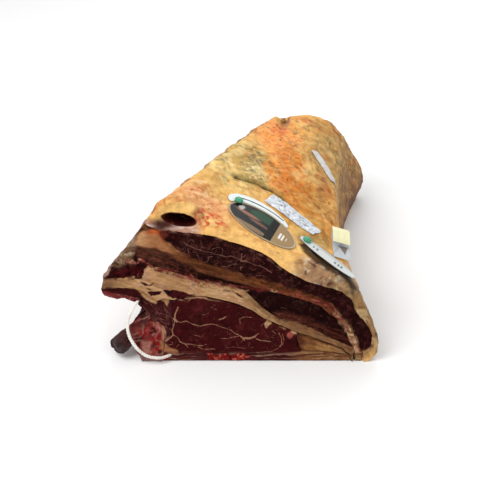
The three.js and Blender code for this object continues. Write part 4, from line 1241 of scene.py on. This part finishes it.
def tie_string():
    """Three cotton strands twisted round each other."""
    path, places = curve_points(STRING_ROUTE, STRAND["step"])
    tangent = np.gradient(path, axis=0)
    tangent /= np.linalg.norm(tangent, axis=1)[:, None]
    side = np.cross(tangent, (1, 0.3, 0))
    side /= np.linalg.norm(side, axis=1)[:, None]
    up = np.cross(tangent, side)
    rows, faces = [], []
    for strand in range(3):
        turn = 2 * math.pi * (places / STRAND["pitch"] + strand / 3)
        middle = path + STRAND["offset"] * (np.cos(turn)[:, None] * side + np.sin(turn)[:, None] * up)
        start = len(rows)
        for j in range(len(path)):
            for i in range(STRAND["sides"]):
                angle = 2 * math.pi * i / STRAND["sides"]
                rows.append(middle[j] + STRAND["radius"] * (math.cos(angle) * side[j] + math.sin(angle) * up[j]))
        faces.append(ring_faces(len(path), STRAND["sides"]) + start)
        for ring, flip in ((start, 1), (len(rows) - STRAND["sides"], -1)):
            cap = [(ring, ring + i, ring + i + 1) for i in range(1, STRAND["sides"] - 1)]
            faces.append(np.array(cap)[:, ::flip])
    form = Form(np.array(rows), np.vstack(faces))
    form.mix((240, 238, 230), np.ones(len(form.points)))
    form.mix((210, 190, 180), step(0.2, 0.6, noise(form.points, 9, 361, 2)) * 0.5)
    form.mix((190, 120, 110), step(14, 4, form.points[:, 2]) * 0.35)
    show(form, "tie_string", COTTON)


bone_end()
oval_tag()
crescent_label()
paper_label()
long_label()
strip_label()
curled_label()
pin("pin_1")
pin("pin_2")
tie_string()


# Floor, light and camera

def floor():
    bpy.ops.mesh.primitive_plane_add(size=8, location=(0, 0, -0.0006))
    plane = bpy.context.object
    plane.name = "floor"
    material = bpy.data.materials.new("pale_floor")
    material.use_nodes = True
    shader = material.node_tree.nodes["Principled BSDF"]
    shader.inputs["Base Color"].default_value = (0.93, 0.93, 0.93, 1)
    shader.inputs["Roughness"].default_value = 0.9
    plane.data.materials.append(material)


def area_light(name, location, target, size, power):
    light = bpy.data.lights.new(name, "AREA")
    light.energy = power
    light.size = size
    lamp = bpy.data.objects.new(name, light)
    lamp.location = location
    away = np.array(location) - np.array(target)
    lamp.rotation_euler = (math.atan2(math.hypot(away[0], away[1]), away[2]), 0, math.atan2(away[0], -away[1]))
    bpy.context.scene.collection.objects.link(lamp)


def camera():
    data = bpy.data.cameras.new("camera")
    data.lens = 73.44
    data.sensor_width = 36
    seen_from = bpy.data.objects.new("camera", data)
    seen_from.location = (0, -1.1873, 0.8119)
    seen_from.rotation_euler = (math.radians(58), 0, 0)
    bpy.context.scene.collection.objects.link(seen_from)
    bpy.context.scene.camera = seen_from


floor()
area_light("key", (-0.9, -0.5, 1.5), (0, 0, 0.1), 1.0, 16)
area_light("fill", (1.1, -1.2, 1.0), (0, 0, 0.1), 1.2, 4)
area_light("back", (0.3, 1.3, 1.2), (0, 0, 0.1), 1.0, 7)
world = bpy.data.worlds.new("studio")
world.use_nodes = True
world.node_tree.nodes["Background"].inputs["Color"].default_value = (1, 1, 1, 1)
world.node_tree.nodes["Background"].inputs["Strength"].default_value = 0.68
bpy.context.scene.world = world
bpy.context.scene.view_settings.view_transform = "Standard"
camera()
